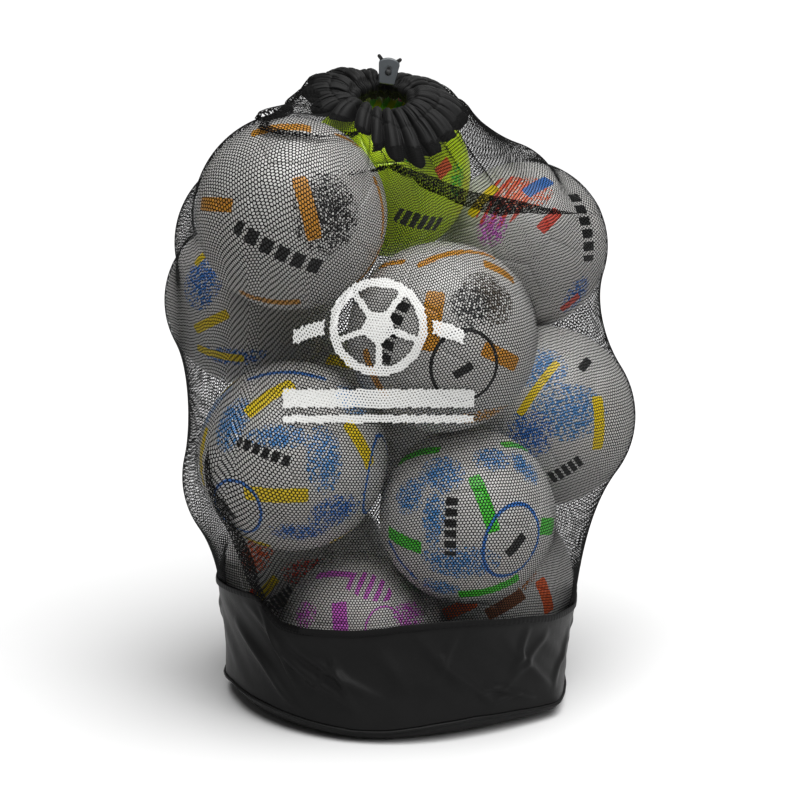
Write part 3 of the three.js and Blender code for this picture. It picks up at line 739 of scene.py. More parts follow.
# Each ball's markings: (kind, where across and up as shares of the radius when the ball is seen
# from the front and 14 degrees above, turn in degrees, half-length and half-width in mm, colour).
GOLD, BLACK, BLUE, YELLOW = "#c98a1e", "#151515", "#1f68b8", "#e8cc10"
GREEN, RED, PINK, SKY = "#3cc022", "#d8452e", "#c860c8", "#3f82c0"
ORANGE, DARK = "#e8632c", "#4a4238"
MARKS = {
    "upper_left": [
        ("speckle", 0.4, -0.06, 0, 46, 40, BLACK), ("bar", 0.2, 0.0, -12, 36, 9, GOLD),
        ("bar", -0.77, 0.06, 84, 30, 8, GOLD), ("bar", -0.09, 0.86, 72, 34, 9, GOLD),
        ("bar", -0.22, -0.92, 100, 36, 7, GOLD), ("bar", 0.95, 0.05, 0, 36, 4, GOLD),
        ("bar", 0.84, -0.53, 24, 30, 5, GOLD), ("blocks", -0.1, -0.44, 117, 55, 9, BLACK),
        ("bar", 0.6, 0.75, 140, 20, 4, GOLD),
    ],
    "lime_top": [
        ("stripes", 0.0, 0.9, 20, 34, 40, "#7be02c"), ("bar", 0.2, 0.86, 40, 12, 7, ORANGE),
        ("bar", 0.67, 0.0, 60, 13, 8, ORANGE), ("speckle", 0.84, -0.12, 0, 22, 16, GREEN),
        ("blocks", 0.4, -0.63, 108, 34, 10, "#1c2812"), ("stripes", 0.3, 0.3, 30, 26, 20, GREEN),
    ],
    "upper_right": [
        ("stripes", -0.28, 0.5, 20, 40, 30, RED), ("speckle", 0.0, 0.6, 0, 26, 34, ORANGE),
        ("bar", 0.16, 0.67, 60, 22, 8, BLUE), ("bar", -0.5, 0.5, 20, 24, 8, YELLOW),
        ("speckle", -0.4, 0.15, 0, 22, 20, PINK), ("bar", 0.28, 0.25, 50, 18, 7, RED),
        ("speckle", 0.62, -0.62, 0, 28, 20, BLUE), ("bar", 0.55, -0.7, 40, 14, 7, RED),
        ("blocks", 0.72, 0.22, 5, 44, 10, BLACK),
    ],
    "upper_front": [
        ("speckle", 0.46, 0.39, 0, 34, 34, DARK), ("speckle", 0.28, 0.3, 0, 26, 24, BLACK),
        ("bar", -0.12, 0.15, 4, 34, 11, GOLD), ("bar", 0.6, -0.22, 118, 28, 9, GOLD),
        ("arc", 0.22, -0.33, 0, 44, 40, BLACK), ("bar", 0.16, 0.87, 92, 52, 5, GOLD),
        ("bar", 0.59, 0.68, 145, 22, 8, GOLD), ("bar", -0.54, 0.76, 60, 22, 5, GOLD),
        ("blocks", -0.54, 0.0, 14, 44, 8, BLACK), ("speckle", 0.42, -0.83, 0, 14, 40, GOLD),
        ("bar", 0.2, -0.36, 60, 12, 5, BLACK), ("bar", -0.72, -0.4, -20, 30, 6, GOLD),
    ],
    "middle_left": [
        ("speckle", 0.47, -0.57, 0, 24, 34, BLUE), ("speckle", -0.61, 0.35, 0, 34, 24, SKY),
        ("speckle", 0.36, -0.02, 0, 40, 22, SKY), ("speckle", -0.11, 0.22, 0, 14, 38, SKY),
        ("speckle", 0.63, 0.6, 0, 22, 28, SKY), ("speckle", 0.1, -0.78, 0, 16, 38, BLUE),
        ("speckle", -0.84, 0.5, 0, 36, 16, SKY), ("bar", -0.22, 0.63, 39, 32, 9, YELLOW),
        ("bar", 0.73, 0.14, -22, 30, 9, YELLOW), ("bar", -0.15, -0.39, 90, 37, 9, YELLOW),
        ("bar", 0.6, -0.81, 60, 30, 7, YELLOW), ("bar", -0.39, -0.9, 110, 20, 8, YELLOW),
        ("bar", -0.95, 0.0, 0, 34, 6, YELLOW), ("bar", -0.06, 0.88, 82, 46, 3.5, BLUE),
        ("arc", -0.58, -0.54, 40, 42, 34, BLUE), ("arc", 0.93, -0.2, 10, 48, 34, BLUE),
        ("bar", -0.66, -0.54, 150, 14, 5, BLACK), ("blocks", -0.27, 0.06, 107, 35, 6, BLACK),
    ],
    "middle_right": [
        ("speckle", 0.24, 0.04, 0, 34, 50, SKY), ("speckle", -0.05, 0.52, 0, 30, 30, SKY),
        ("speckle", -0.19, -0.19, 0, 30, 30, BLUE), ("bar", -0.1, 0.32, 32, 40, 5, YELLOW),
        ("bar", 0.57, -0.08, 4, 32, 8, YELLOW), ("bar", 0.42, 0.56, 60, 12, 5, BLACK),
        ("blocks", 0.19, -0.6, 55, 26, 9, BLACK),
    ],
    "front_right": [
        ("speckle", 0.26, 0.66, 0, 18, 24, SKY), ("speckle", -0.33, 0.49, 0, 24, 30, SKY),
        ("speckle", -0.67, 0.24, 0, 22, 22, SKY), ("speckle", -0.1, -0.5, 0, 22, 46, SKY),
        ("speckle", -0.33, -0.79, 0, 16, 26, SKY), ("speckle", 0.63, 0.56, 0, 24, 18, SKY),
        ("speckle", -0.4, 0.0, 0, 34, 14, SKY), ("bar", 0.17, 0.17, -16, 34, 8, GREEN),
        ("bar", -0.74, -0.26, 98, 28, 8, GREEN), ("bar", -0.58, 0.71, 50, 32, 6, GREEN),
        ("bar", 0.54, 0.8, 125, 26, 6, GREEN), ("bar", 0.9, -0.11, 105, 20, 10, GREEN),
        ("bar", 0.24, -0.82, 70, 36, 8, GREEN), ("arc", 0.5, -0.27, 20, 46, 38, BLUE),
        ("bar", 0.52, -0.3, 45, 15, 6, BLACK), ("blocks", -0.21, -0.08, 0, 35, 7, BLACK),
        ("bar", -0.76, -0.5, -35, 28, 3, BLUE),
    ],
    "small_front": [
        ("speckle", -0.7, 0.25, 0, 18, 18, PINK), ("speckle", 0.6, 0.24, 0, 18, 24, PINK),
        ("bar", -0.26, 0.22, -12, 20, 9, PINK), ("stripes", 0.08, 0.62, 30, 18, 30, PINK),
        ("arc", 0.28, 0.12, 30, 26, 22, PINK), ("bar", -0.35, 0.75, 70, 24, 5, PINK),
    ],
    "left_back": [
        ("speckle", -0.53, 0.19, 0, 34, 28, BLUE), ("bar", -0.5, 0.52, 20, 18, 5, YELLOW),
        ("speckle", -0.2, -0.68, 0, 14, 44, BLUE), ("bar", -0.43, -0.28, 62, 26, 6, YELLOW),
        ("bar", -0.34, -0.66, 100, 30, 6, YELLOW), ("speckle", 0.1, 0.3, 0, 30, 22, SKY),
    ],
    "middle_back": [
        ("speckle", -0.3, -0.2, 0, 40, 30, SKY), ("bar", 0.3, 0.3, 40, 26, 8, BLUE),
        ("bar", -0.2, 0.6, 100, 24, 8, YELLOW),
    ],
    "lower_left": [
        ("blocks", -0.28, -0.32, 50, 20, 9, BLACK), ("bar", -0.67, -0.38, 30, 22, 6, RED),
        ("bar", -0.46, -0.2, 40, 20, 6, YELLOW), ("speckle", 0.1, 0.0, 0, 18, 40, RED),
        ("speckle", -0.6, 0.2, 0, 24, 26, ORANGE),
    ],
    "lower_right": [
        ("bar", 0.64, -0.16, -20, 24, 8, ORANGE), ("speckle", 0.3, 0.2, 0, 30, 26, "#a0622c"),
        ("bar", 0.15, -0.25, 60, 26, 8, "#7a4a2c"), ("bar", -0.4, -0.3, 60, 24, 8, ORANGE),
    ],
}


MARK_DEPTH = 40  # mm to either side of the skin, along a marking's own axis


def mark_mask(tree, coordinates, kind, place, centre, radius):
    """Where a marking lies, 0 or 1. The mapping turns the bag's coordinates into the marking's
    own frame, where it reaches from -1 to 1 across and up. The marking goes straight through
    the ball, so that it also shows on the ball's back, as a mirror image."""
    maths = functools.partial(math_node, tree)
    across, up, turn, long, wide = place
    deep = math.sqrt(max(1 - across**2 - up**2, 0.0))
    x, y, z = Matrix.Rotation(-CAMERA_RISE, 3, "X") @ Vector((across, -deep, up))
    spin, tilt = math.atan2(x, -y), math.asin(z)
    frame_turn = (Matrix.Rotation(spin, 3, "Z") @ Matrix.Rotation(-tilt, 3, "X")
                  @ Matrix.Rotation(math.radians(turn), 3, "Y"))
    where = np.array(centre) + radius * np.array([x, y, z])
    local = add_node(
        tree, "ShaderNodeMapping",
        {"Vector": coordinates, "Location": tuple(where * MM),
         "Rotation": tuple(frame_turn.to_euler("XYZ")),
         "Scale": (wide * MM, MARK_DEPTH * MM, long * MM)},
        vector_type="TEXTURE",
    ).outputs[0]
    side, depth, height = add_node(tree, "ShaderNodeSeparateXYZ", {0: local}).outputs
    half = radius / MARK_DEPTH
    past = maths("ABSOLUTE", maths("SUBTRACT", depth, half))
    past = maths("ABSOLUTE", maths("SUBTRACT", past, half))
    near = maths("LESS_THAN", past, 1.0)
    powers = (8.0, 14.0) if kind in ("bar", "blocks") else (2.0, 2.0)
    out = maths("ADD", *(maths("POWER", maths("ABSOLUTE", part), power)
                         for part, power in zip((side, height), powers)))
    if kind == "arc":
        rim = maths("ABSOLUTE", maths("SUBTRACT", out, 0.9))
        return maths("MULTIPLY", maths("LESS_THAN", rim, 0.09), near)
    inside = maths("MULTIPLY", maths("LESS_THAN", out, 1.0), near)
    if kind == "bar":
        return inside
    if kind == "blocks":
        cut = maths("GREATER_THAN", maths("SINE", maths("MULTIPLY", height, 18.0)), -0.6)
    elif kind == "stripes":
        lines = maths("ADD", maths("MULTIPLY", side, 16.0), height)
        cut = maths("GREATER_THAN", maths("SINE", lines), 0.1)
    else:
        edge = maths("ADD", maths("MULTIPLY", out, 0.14), 0.44)
        cut = maths("GREATER_THAN", noise(tree, coordinates, 380.0, Detail=1.0), edge)
    return maths("MULTIPLY", inside, cut)


def ball_material(name, centre, radius, skin):
    """Stitched polyurethane leather: a softly glossy cast skin with a fine pressed grain and
    printed markings, a little dirty in places."""
    material, tree, shader = new_material(
        f"ball_leather_{name}", Roughness=0.42, Coat_Weight=0.25, Coat_Roughness=0.25
    )
    coordinates = add_node(tree, "ShaderNodeTexCoord").outputs["Object"]
    pale = linear(skin)
    worn = tuple(c * 0.86 for c in pale[:3]) + (1.0,)
    colour = mix_colour(tree, noise(tree, coordinates, 14.0, Detail=5.0), pale, worn)
    for kind, *place, paint in MARKS[name]:
        mask = mark_mask(tree, coordinates, kind, place, centre, radius)
        colour = mix_colour(tree, mask, colour, linear(paint))
    tree.links.new(colour, shader.inputs["Base Color"])
    # The pressed grain is about half a millimetre; it is drawn at 1.2 mm so that it shows.
    grain = add_node(tree, "ShaderNodeTexVoronoi", {"Vector": coordinates, "Scale": 1 / (1.2 * MM)})
    tree.links.new(bump(tree, grain.outputs["Distance"], 0.12, 0.1), shader.inputs["Normal"])
    return material


# ---- Cloth, cord and plastic finishes ----


def woven(name, colour, thread_mm, roughness, sheen, crease=0.0):
    """Woven polyester: threads that cross at right angles on the cloth's own UV, each raised where
    it passes over, with a soft sheen and faint wrinkles."""
    material, tree, shader = new_material(
        name, Roughness=roughness, Sheen_Weight=sheen, Sheen_Roughness=0.35,
        Specular_IOR_Level=0.07,
    )
    maths = functools.partial(math_node, tree)
    place = add_node(tree, "ShaderNodeTexCoord").outputs
    flat = add_node(tree, "ShaderNodeSeparateXYZ", {0: place["UV"]}).outputs
    turns = 1 / (thread_mm * MM) * math.pi
    warp, weft = (maths("SINE", maths("MULTIPLY", flat[i], turns)) for i in (0, 1))
    weave = maths("MULTIPLY", warp, weft)
    fade = noise(tree, place["Object"], 22.0, Detail=6.0, Roughness=0.6)
    dark = linear(colour)
    light = tuple(min(c * 1.9 + 0.004, 1) for c in dark[:3]) + (1.0,)
    # The raised thread crossings are painted lighter and the sunken ones darker, as painted
    # highlight and shade; the slow noise adds tone that differs at random.
    share = maths("MULTIPLY", maths("ADD", weave, 1.0), 0.25)
    share = maths("ADD", share, maths("MULTIPLY", fade, 0.5))
    tree.links.new(mix_colour(tree, share, dark, light), shader.inputs["Base Color"])
    rough = add_node(tree, "ShaderNodeMapRange",
                     {0: fade, 3: roughness - 0.1, 4: roughness + 0.12})
    tree.links.new(rough.outputs[0], shader.inputs["Roughness"])
    wrinkle = noise(tree, place["Object"], 48.0, Detail=4.0, Distortion=0.8)
    raised = bump(tree, weave, 0.35, 0.12, Normal=bump(tree, wrinkle, 0.5, crease))
    tree.links.new(raised, shader.inputs["Normal"])
    return material


def net_thread():
    """Knitted polyester net yarn: matt black bundles of filament with a faint sheen, the
    filaments showing as fine streaks."""
    material, tree, shader = new_material(
        "net_thread", Roughness=0.6, Specular_IOR_Level=0.03
    )
    coordinates = add_node(tree, "ShaderNodeTexCoord").outputs["Object"]
    streaked = mix_colour(tree, noise(tree, coordinates, 900.0), linear("#060606"),
                          linear("#101010"))
    tree.links.new(streaked, shader.inputs["Base Color"])
    return material


def screen_ink():
    """Screen-printed white ink on the net: a thick, even, matt layer."""
    return new_material("screen_ink", Roughness=0.7, Base_Color=linear("#b4b4b2"))[0]


def braided(name, colour):
    """Braided polyester cord: two sets of yarn that cross along its UV, each a rounded rib."""
    material, tree, shader = new_material(name, Roughness=0.6, Specular_IOR_Level=0.06)
    maths = functools.partial(math_node, tree)
    uv = add_node(tree, "ShaderNodeTexCoord").outputs["UV"]
    parts = add_node(tree, "ShaderNodeSeparateXYZ", {0: uv}).outputs
    along = maths("MULTIPLY", parts[1], 2 * math.pi / (2.4 * MM))
    round_ = maths("MULTIPLY", parts[0], 2 * math.pi / (CORD_GIRTH * MM) * 4)
    braid = maths("MAXIMUM", *(maths("SINE", maths(way, along, round_))
                               for way in ("ADD", "SUBTRACT")))
    share = maths("MULTIPLY", maths("ADD", braid, 1.0), 0.5)
    # The colour follows the ribs: the grooves between them are near-black as painted shade, and the
    # rib tops lighter as painted highlight.
    tree.links.new(mix_colour(tree, share, linear("#060606"), linear(colour)),
                   shader.inputs["Base Color"])
    tree.links.new(bump(tree, braid, 0.7, 0.35), shader.inputs["Normal"])
    return material


def moulded(name, colour, roughness):
    """Injection-moulded acetal: an even satin surface with the fine spark texture of the mould."""
    material, tree, shader = new_material(name, Roughness=roughness, IOR=1.48)
    coordinates = add_node(tree, "ShaderNodeTexCoord").outputs["Object"]
    base = linear(colour)
    lighter = tuple(min(c * 1.25, 1) for c in base[:3]) + (1.0,)
    scuffed = mix_colour(tree, noise(tree, coordinates, 160.0), base, lighter)
    tree.links.new(scuffed, shader.inputs["Base Color"])
    spark = noise(tree, coordinates, 2200.0, Detail=3.0)
    tree.links.new(bump(tree, spark, 0.3, 0.05), shader.inputs["Normal"])
    return material


# ---- What a user would change ----


class BagSettings(bpy.types.PropertyGroup):
    """Sizes and colours of the bag."""

    cord_diameter: bpy.props.FloatProperty(
        name="Cord diameter", description="Thickness of the drawstring",
        default=0.0042, unit="LENGTH",
    )
    view_distance: bpy.props.FloatProperty(
        name="View distance", description="From the camera to the bag", default=3.5, unit="LENGTH"
    )
    view_elevation: bpy.props.FloatProperty(
        name="View elevation", description="How far above the horizon the camera stands",
        default=CAMERA_RISE, subtype="ANGLE",
    )
    key_light: bpy.props.FloatProperty(
        name="Key light", description="Strength of the sun", default=7.4
    )
    ball_colour: bpy.props.StringProperty(
        name="Ball colour", description="sRGB hex colour of the balls' skin", default="#cecdca"
    )
    lime_colour: bpy.props.StringProperty(
        name="Top ball colour", description="sRGB hex colour of the ball under the mouth",
        default="#cdf000",
    )
    cloth_colour: bpy.props.StringProperty(
        name="Cloth colour", description="sRGB hex colour of the band, base and collar",
        default="#0a0a0a",
    )
    lock_colour: bpy.props.StringProperty(
        name="Lock colour", description="sRGB hex colour of the cord lock", default="#34383b"
    )


def settings():
    return bpy.context.scene.ball_bag


# ---- Operators ----


class BagCamera(bpy.types.Operator):
    """Set the camera in front of the bag, a little above it"""

    bl_idname = "ball_bag.camera"
    bl_label = "Camera"

    def execute(self, context):
        chosen = settings()
        target = CAMERA_TARGET * MM
        data = bpy.data.cameras.new("view")
        data.lens, data.sensor_width = CAMERA_LENS, 36
        data.clip_end = 60
        camera = bpy.data.objects.new("view", data)
        up, away = math.sin(chosen.view_elevation), math.cos(chosen.view_elevation)
        camera.location = target + chosen.view_distance * np.array([0, -away, up])
        camera.rotation_euler = (math.pi / 2 - chosen.view_elevation, 0, 0)
        context.scene.collection.objects.link(camera)
        context.scene.camera = camera
        return {"FINISHED"}


def on_lock(points):
    """Points of the lock's own frame, put in place: leaned over about Y and moved to its foot."""
    p = np.asarray(points, float)
    c, s = math.cos(LOCK_TILT), math.sin(LOCK_TILT)
    x, y, z = p.T
    return np.stack([c * x + s * z, y, c * z - s * x], -1) + LOCK_FOOT


def closed_tube(name, route, radius, material, body):
    """A length of cord with rounded ends. Its UV is millimetres round and along it."""
    radius = np.full(len(route), radius)
    step = np.linalg.norm(route[1] - route[0])
    if step < radius[0]:
        radius[: len(CORD_ENDS)] *= CORD_ENDS
        radius[-len(CORD_ENDS) :] *= CORD_ENDS[::-1]
    radius[0] = radius[-1] = CORD_TIP
    points = tube(route, radius, CORD_SIDES)
    total = path_lengths(route[None])[0]
    uv = grid_uv(len(route), CORD_SIDES, CORD_GIRTH, total, close_columns=True)
    faces = grid_faces(len(route), CORD_SIDES, close_columns=True)
    return make_piece(name, points.reshape(-1, 3), faces, [material], uv=uv, body=body)


class BagCords(bpy.types.Operator):
    """Lay the drawstring round the mouth and hang its two ends, with their knots"""

    bl_idname = "ball_bag.cords"
    bl_label = "Drawstring"

    def execute(self, context):
        cord = braided("braided_cord", "#1a1a1a")
        radius = settings().cord_diameter / MM / 2
        for side, (in_lock, free) in TAILS.items():
            corners = np.vstack([on_lock(in_lock), np.array(free, float)])
            route = smooth_route(corners, 620)
            tail = closed_tube(f"cord_end_{side}", route, radius, cord, "cord_lock")
            down = route[-1] - route[-4]
            knot = overhand_knot(f"knot_{side}", route[-1] + down / np.linalg.norm(down) * 5, cord)
            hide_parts(f"cord_tail_{side}")
            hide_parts(f"tail_knot_{side}")
        stub = (19.4, 13, 7, 1, -1.5)
        angles = np.radians(112 + np.arange(19) / 18 * 300)
        route = np.vstack([
            on_lock([(-CHANNEL_OFFSET, 0, z) for z in stub]),
            mouth_ring(angles, np.full(19, DRAWSTRING_RING_RADIUS)),
            on_lock([(CHANNEL_OFFSET, 0, z) for z in stub[::-1]]),
        ])
        ring = closed_tube(
            "drawstring_ring", smooth_route(route, 260), radius * 0.98, cord, "root"
        )
        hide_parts("drawstring")
        return {"FINISHED"}


def overhand_knot(name, middle, material):
    """A tight overhand knot: a trefoil line, pressed together until its turns touch."""
    t = np.linspace(0, 2 * np.pi, 121)[:-1]
    x = np.sin(t) + 2 * np.sin(2 * t)
    y = np.cos(t) - 2 * np.cos(2 * t)
    route = np.stack([x * 1.35, y * 1.25, -np.sin(3 * t) * 2.0], -1) + middle
    closed = np.vstack([route, route[:1]])
    points = tube(closed, KNOT_RADIUS, KNOT_SIDES)[:-1]
    return ring_piece(name, points, material, CORD_GIRTH, 60, body="cord_lock")


class BagStage(bpy.types.Operator):
    """Lay a plain pale floor under soft studio lights"""

    bl_idname = "ball_bag.stage"
    bl_label = "Floor and lights"

    def execute(self, context):
        material, tree, shader = new_material("pale_floor", Roughness=0.9)
        coordinates = add_node(tree, "ShaderNodeTexCoord").outputs["Object"]
        mottled = mix_colour(tree, noise(tree, coordinates, 3.0), linear("#b2b2b2"),
                             linear("#afafaf"))
        tree.links.new(mottled, shader.inputs["Base Color"])
        corners = np.array([(-1, -1), (1, -1), (1, 1), (-1, 1)]) * FLOOR_REACH
        corners = np.pad(corners, ((0, 0), (0, 1)), constant_values=-FLOOR_DROP)
        mesh = bpy.data.meshes.new("floor")
        mesh.from_pydata(corners * MM, [], [(0, 1, 2, 3)])
        mesh.materials.append(material)
        floor = bpy.data.objects.new("floor", mesh)
        context.scene.collection.objects.link(floor)
        world = context.scene.world or bpy.data.worlds.new("studio")
        context.scene.world = world
        world.use_nodes = True
        background = world.node_tree.nodes["Background"].inputs
        background[0].default_value, background[1].default_value = (1, 1, 1, 1), 0.15
        key = settings().key_light
        lamps = {
            "sky": ("SUN", (0.35, -0.8, 3.2), math.radians(60), key),
            "side": ("AREA", (1.9, -2.6, 1.9), 1.6, key * 4.5),
            "back": ("AREA", (1.2, 2.4, 2.4), 2.0, key * 2.0),
        }
        for name, (kind, place, size, power) in lamps.items():
            data = bpy.data.lights.new(name, kind)
            data.energy = power
            if kind == "SUN":
                data.angle = size
            else:
                data.size = size
            lamp = bpy.data.objects.new(name, data)
            lamp.location = place
            aim = np.array([0, 0, 0.38]) - np.array(place)
            lamp.rotation_euler = (math.atan2(math.hypot(aim[0], aim[1]), -aim[2]), 0,
                                   math.atan2(-aim[0], aim[1]))
            context.scene.collection.objects.link(lamp)
        context.scene.view_settings.view_transform = "Standard"
        return {"FINISHED"}


class BagNet(bpy.types.Operator):
    """Knit the net over the balls, with its folds, its gathers and a plain white print"""

    bl_idname = "ball_bag.net"
    bl_label = "Net"

    def execute(self, context):
        thread, ink = net_thread(), screen_ink()
        paths = net_sheet()
        for sector in range(NET_SECTORS):
            net = net_sector(sector, thread, ink)
            if sector == 0:
                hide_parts("net_body")
        return {"FINISHED"}


BAND_COLUMNS = 768
BAND_STEPS = 60
BAND_GIRTH = 1300  # on the cloth's own UV
BAND_THICKNESS = 1.0
TAPE_SIDES, TAPE_STITCHES = 14, 180
PIPING_SIDES, PIPING_BEADS = 10, 220
BASE_COLUMNS = 360
BASE_THICKNESS = 2.8
BAND_RADIUS, BAND_TALL = 205, 118  # as the folds are laid out on it

# Drape folds in the band: its two ends as (angle in degrees, height share), half-width in mm
# and height in mm.
BAND_FOLDS = [
    ((214, 0.95), (262, 0.12), 7, 7), ((222, 1.0), (236, 0.3), 4, 5),
    ((232, 0.85), (270, 0.25), 6, 5), ((205, 0.7), (238, 0.05), 6, 6),
    ((246, 0.95), (257, 0.2), 5, 5), ((262, 0.95), (276, 0.3), 8, 5),
    ((275, 1.0), (298, 0.15), 7, 6), ((290, 0.95), (283, 0.35), 6, 4.5),
    ((305, 0.85), (330, 0.2), 7, 6), ((318, 0.95), (312, 0.4), 6, 5),
    ((286, 0.6), (306, 0.08), 5, 5), ((300, 0.35), (322, 0.1), 4, 5),
    ((330, 0.9), (310, 0.3), 6, 4), ((352, 0.8), (330, 0.15), 7, 5), ((20, 0.9), (0, 0.2), 8, 5),
    ((60, 0.8), (30, 0.1), 8, 5), ((100, 0.9), (75, 0.2), 8, 5), ((150, 0.8), (118, 0.15), 8, 5),
    ((185, 0.9), (160, 0.2), 8, 5), ((296, 0.22), (312, 0.3), 3, 3.5),
    ((304, 0.12), (316, 0.2), 3, 3.5), ((254, 0.8), (240, 0.35), 4, 3),
]


def band_relief(angle, share):
    """How far the band stands out of its drape: a sum of long ridges, each round across its line
    and fading to nothing at its ends, plus faint waves."""
    relief = 0.0 * angle * share
    for (a0, s0), (a1, s1), wide, high in BAND_FOLDS:
        turn = (np.degrees(angle) - a0 + 180) % 360 - 180
        span = (a1 - a0 + 180) % 360 - 180
        x, y = turn * math.radians(1) * BAND_RADIUS, (share - s0) * BAND_TALL
        dx, dy = span * math.radians(1) * BAND_RADIUS, (s1 - s0) * BAND_TALL
        size = math.hypot(dx, dy)
        along = (x * dx + y * dy) / size**2
        across = (x * dy - y * dx) / size
        fade = np.clip(1 - (2 * along - 1) ** 2, 0, 1)
        relief = relief + 0.75 * high * fade * np.exp(-((across / wide) ** 2))
    waves = wave(angle + share * 0.8, (11, 0.8, 0.0), (17, 0.6, 1.3), (29, 0.3, 0.5))
    return relief + 0.8 + waves * np.sin(np.pi * share)


@functools.lru_cache(maxsize=None)
def band_sheet():
    """The band's outer face as paths[column, step], from the base's seam to its top edge."""
    paths = np.swapaxes(draped_cloth(), 0, 1)
    paths = even_steps(paths, BAND_STEPS, np.zeros(len(paths)), band_top(turn_angle(len(paths))))
    paths = resample_round(paths, BAND_COLUMNS)
    angle = turn_angle(BAND_COLUMNS)[:, None]
    share = np.linspace(0, 1, BAND_STEPS)[None, :]
    held = smoothstep(share, 0, 0.12) * (1 - 0.75 * smoothstep(share, 0.9, 1))
    relief = band_relief(angle, share) * held + 1.5
    return paths + path_normals(paths) * relief[..., None]


class BagBand(bpy.types.Operator):
    """Hang the solid cloth band and bind its top edge to the net"""

    bl_idname = "ball_bag.band"
    bl_label = "Band"

    def execute(self, context):
        cloth = woven("satin_weave_polyester", settings().cloth_colour, 1.1, 0.42, 0.03, 0.8)
        sheet = np.swapaxes(band_sheet(), 0, 1)
        normals = outward(sheet)
        inner = sheet - normals * BAND_THICKNESS
        rings = np.concatenate([sheet, inner[::-1]])
        band = ring_piece("band_cloth", rings, cloth, BAND_GIRTH, 252)
        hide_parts("lower_band")
        tall = path_lengths(band_sheet()).mean() * MM

        # The binding tape: a soft rounded strip along the top edge, puckered at each stitch.
        edge = sheet[-1]
        up = sheet[-1] - sheet[-4]
        up /= np.linalg.norm(up, axis=1, keepdims=True)
        out = normals[-1]
        turn = np.linspace(0, 2 * np.pi, TAPE_SIDES, endpoint=False)[:, None, None]
        pucker = 1 + 0.12 * np.sin(turn_angle(BAND_COLUMNS) * TAPE_STITCHES)[:, None]
        tape = edge + up * (1 + 4.2 * np.sin(turn)) + out * pucker * (0.9 + 1.3 * np.cos(turn))
        ribbed = woven("binding_tape", "#070707", 1.6, 0.6, 0.02)
        binding = ring_piece("binding_tape", tape, ribbed, BAND_GIRTH, 22)
        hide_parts("band_binding")
        return {"FINISHED"}


class BagBase(bpy.types.Operator):
    """Sew the round base, and the piping in its seam"""

    bl_idname = "ball_bag.base"
    bl_label = "Base"

    def execute(self, context):
        cloth = woven("base_polyester", settings().cloth_colour, 1.2, 0.5, 0.03, 0.6)
        columns = BASE_COLUMNS
        angle = turn_angle(columns)
        out, up = seam_stray(angle)
        profile = np.array([
            (60, 0.0), (120, 0.0), (170, 0.0), (BASE_FLAT_RADIUS, 0.2), (195, 2.4),
            (200, 5.6), (203, 9.4), (203.8, 12.4), (202.4, 13.2), (200.6, 12), (199.4, 8.4),
            (194, 4.8), (185, 3), (120, BASE_THICKNESS), (60, BASE_THICKNESS),
        ])
        ripple = wave(angle, (9, 0.5, 0.4), (23, 0.5, 1.0), (41, 0.35, 2.0))
        loose = np.clip(1 - np.abs(profile[:, :1] - 196) / 20, 0, 1)
        at_rim = smoothstep(profile[:, :1], 165, 202)
        radius = profile[:, :1] + ripple * loose + out * at_rim
        height = np.maximum(profile[:, 1:] + 0.6 * ripple * loose, 0) + up * at_rim**2
        rings = np.stack([radius * np.cos(angle), radius * np.sin(angle), height], -1)
        faces = grid_faces(len(rings), columns, close_columns=True).tolist()
        middle = [(0, 0, 0.0), (0, 0, BASE_THICKNESS)]
        last = (len(rings) - 1) * columns
        hubs = len(rings) * columns
        for hub, start, step in ((hubs, 0, -1), (hubs + 1, last, 1)):
            ring = start + np.arange(columns)[::step]
            faces += np.stack([np.full(columns, hub), ring, np.roll(ring, -1)], -1).tolist()
        points = np.concatenate([rings.reshape(-1, 3), middle])
        base = make_piece("base_cloth", points, faces, [cloth])
        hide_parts("base_panel")
        turn = np.linspace(0, 2 * np.pi, PIPING_SIDES, endpoint=False)[:, None]
        bead = 1 + 0.04 * np.sin(angle * PIPING_BEADS)
        radius = BASE_RADIUS + 0.8 + out + PIPING_RADIUS * bead * np.cos(turn) + 0.3 * ripple
        rings = np.stack([radius * np.cos(angle), radius * np.sin(angle),
                          SEAM_HEIGHT + up + PIPING_RADIUS * bead * np.sin(turn)], -1)
        piping = ring_piece("seam_piping", rings, cloth, BAND_GIRTH, 13.8)
        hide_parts("base_piping")
        return {"FINISHED"}


COLLAR_COLUMNS = 900
COLLAR_STEPS = 44  # from the hem up to the roll
MIDDLING_FOLDS = 36
STITCH_LINE = 0.5  # as a share of the way from the hem to the roll
COLLAR_THICKNESS = 1.6
COLLAR_GIRTH, COLLAR_WALK = 1400, 220  # on the cloth's own UV
# How much further down the collar's hem reaches at each place: degrees, then mm.
HEM_REACH = ((0, 0), (40, 0), (90, -2), (140, 0), (180, 3), (222, -6), (243, -14), (261, -17),
             (277, -4), (293, 9), (310, -3), (328, -5), (345, 2))


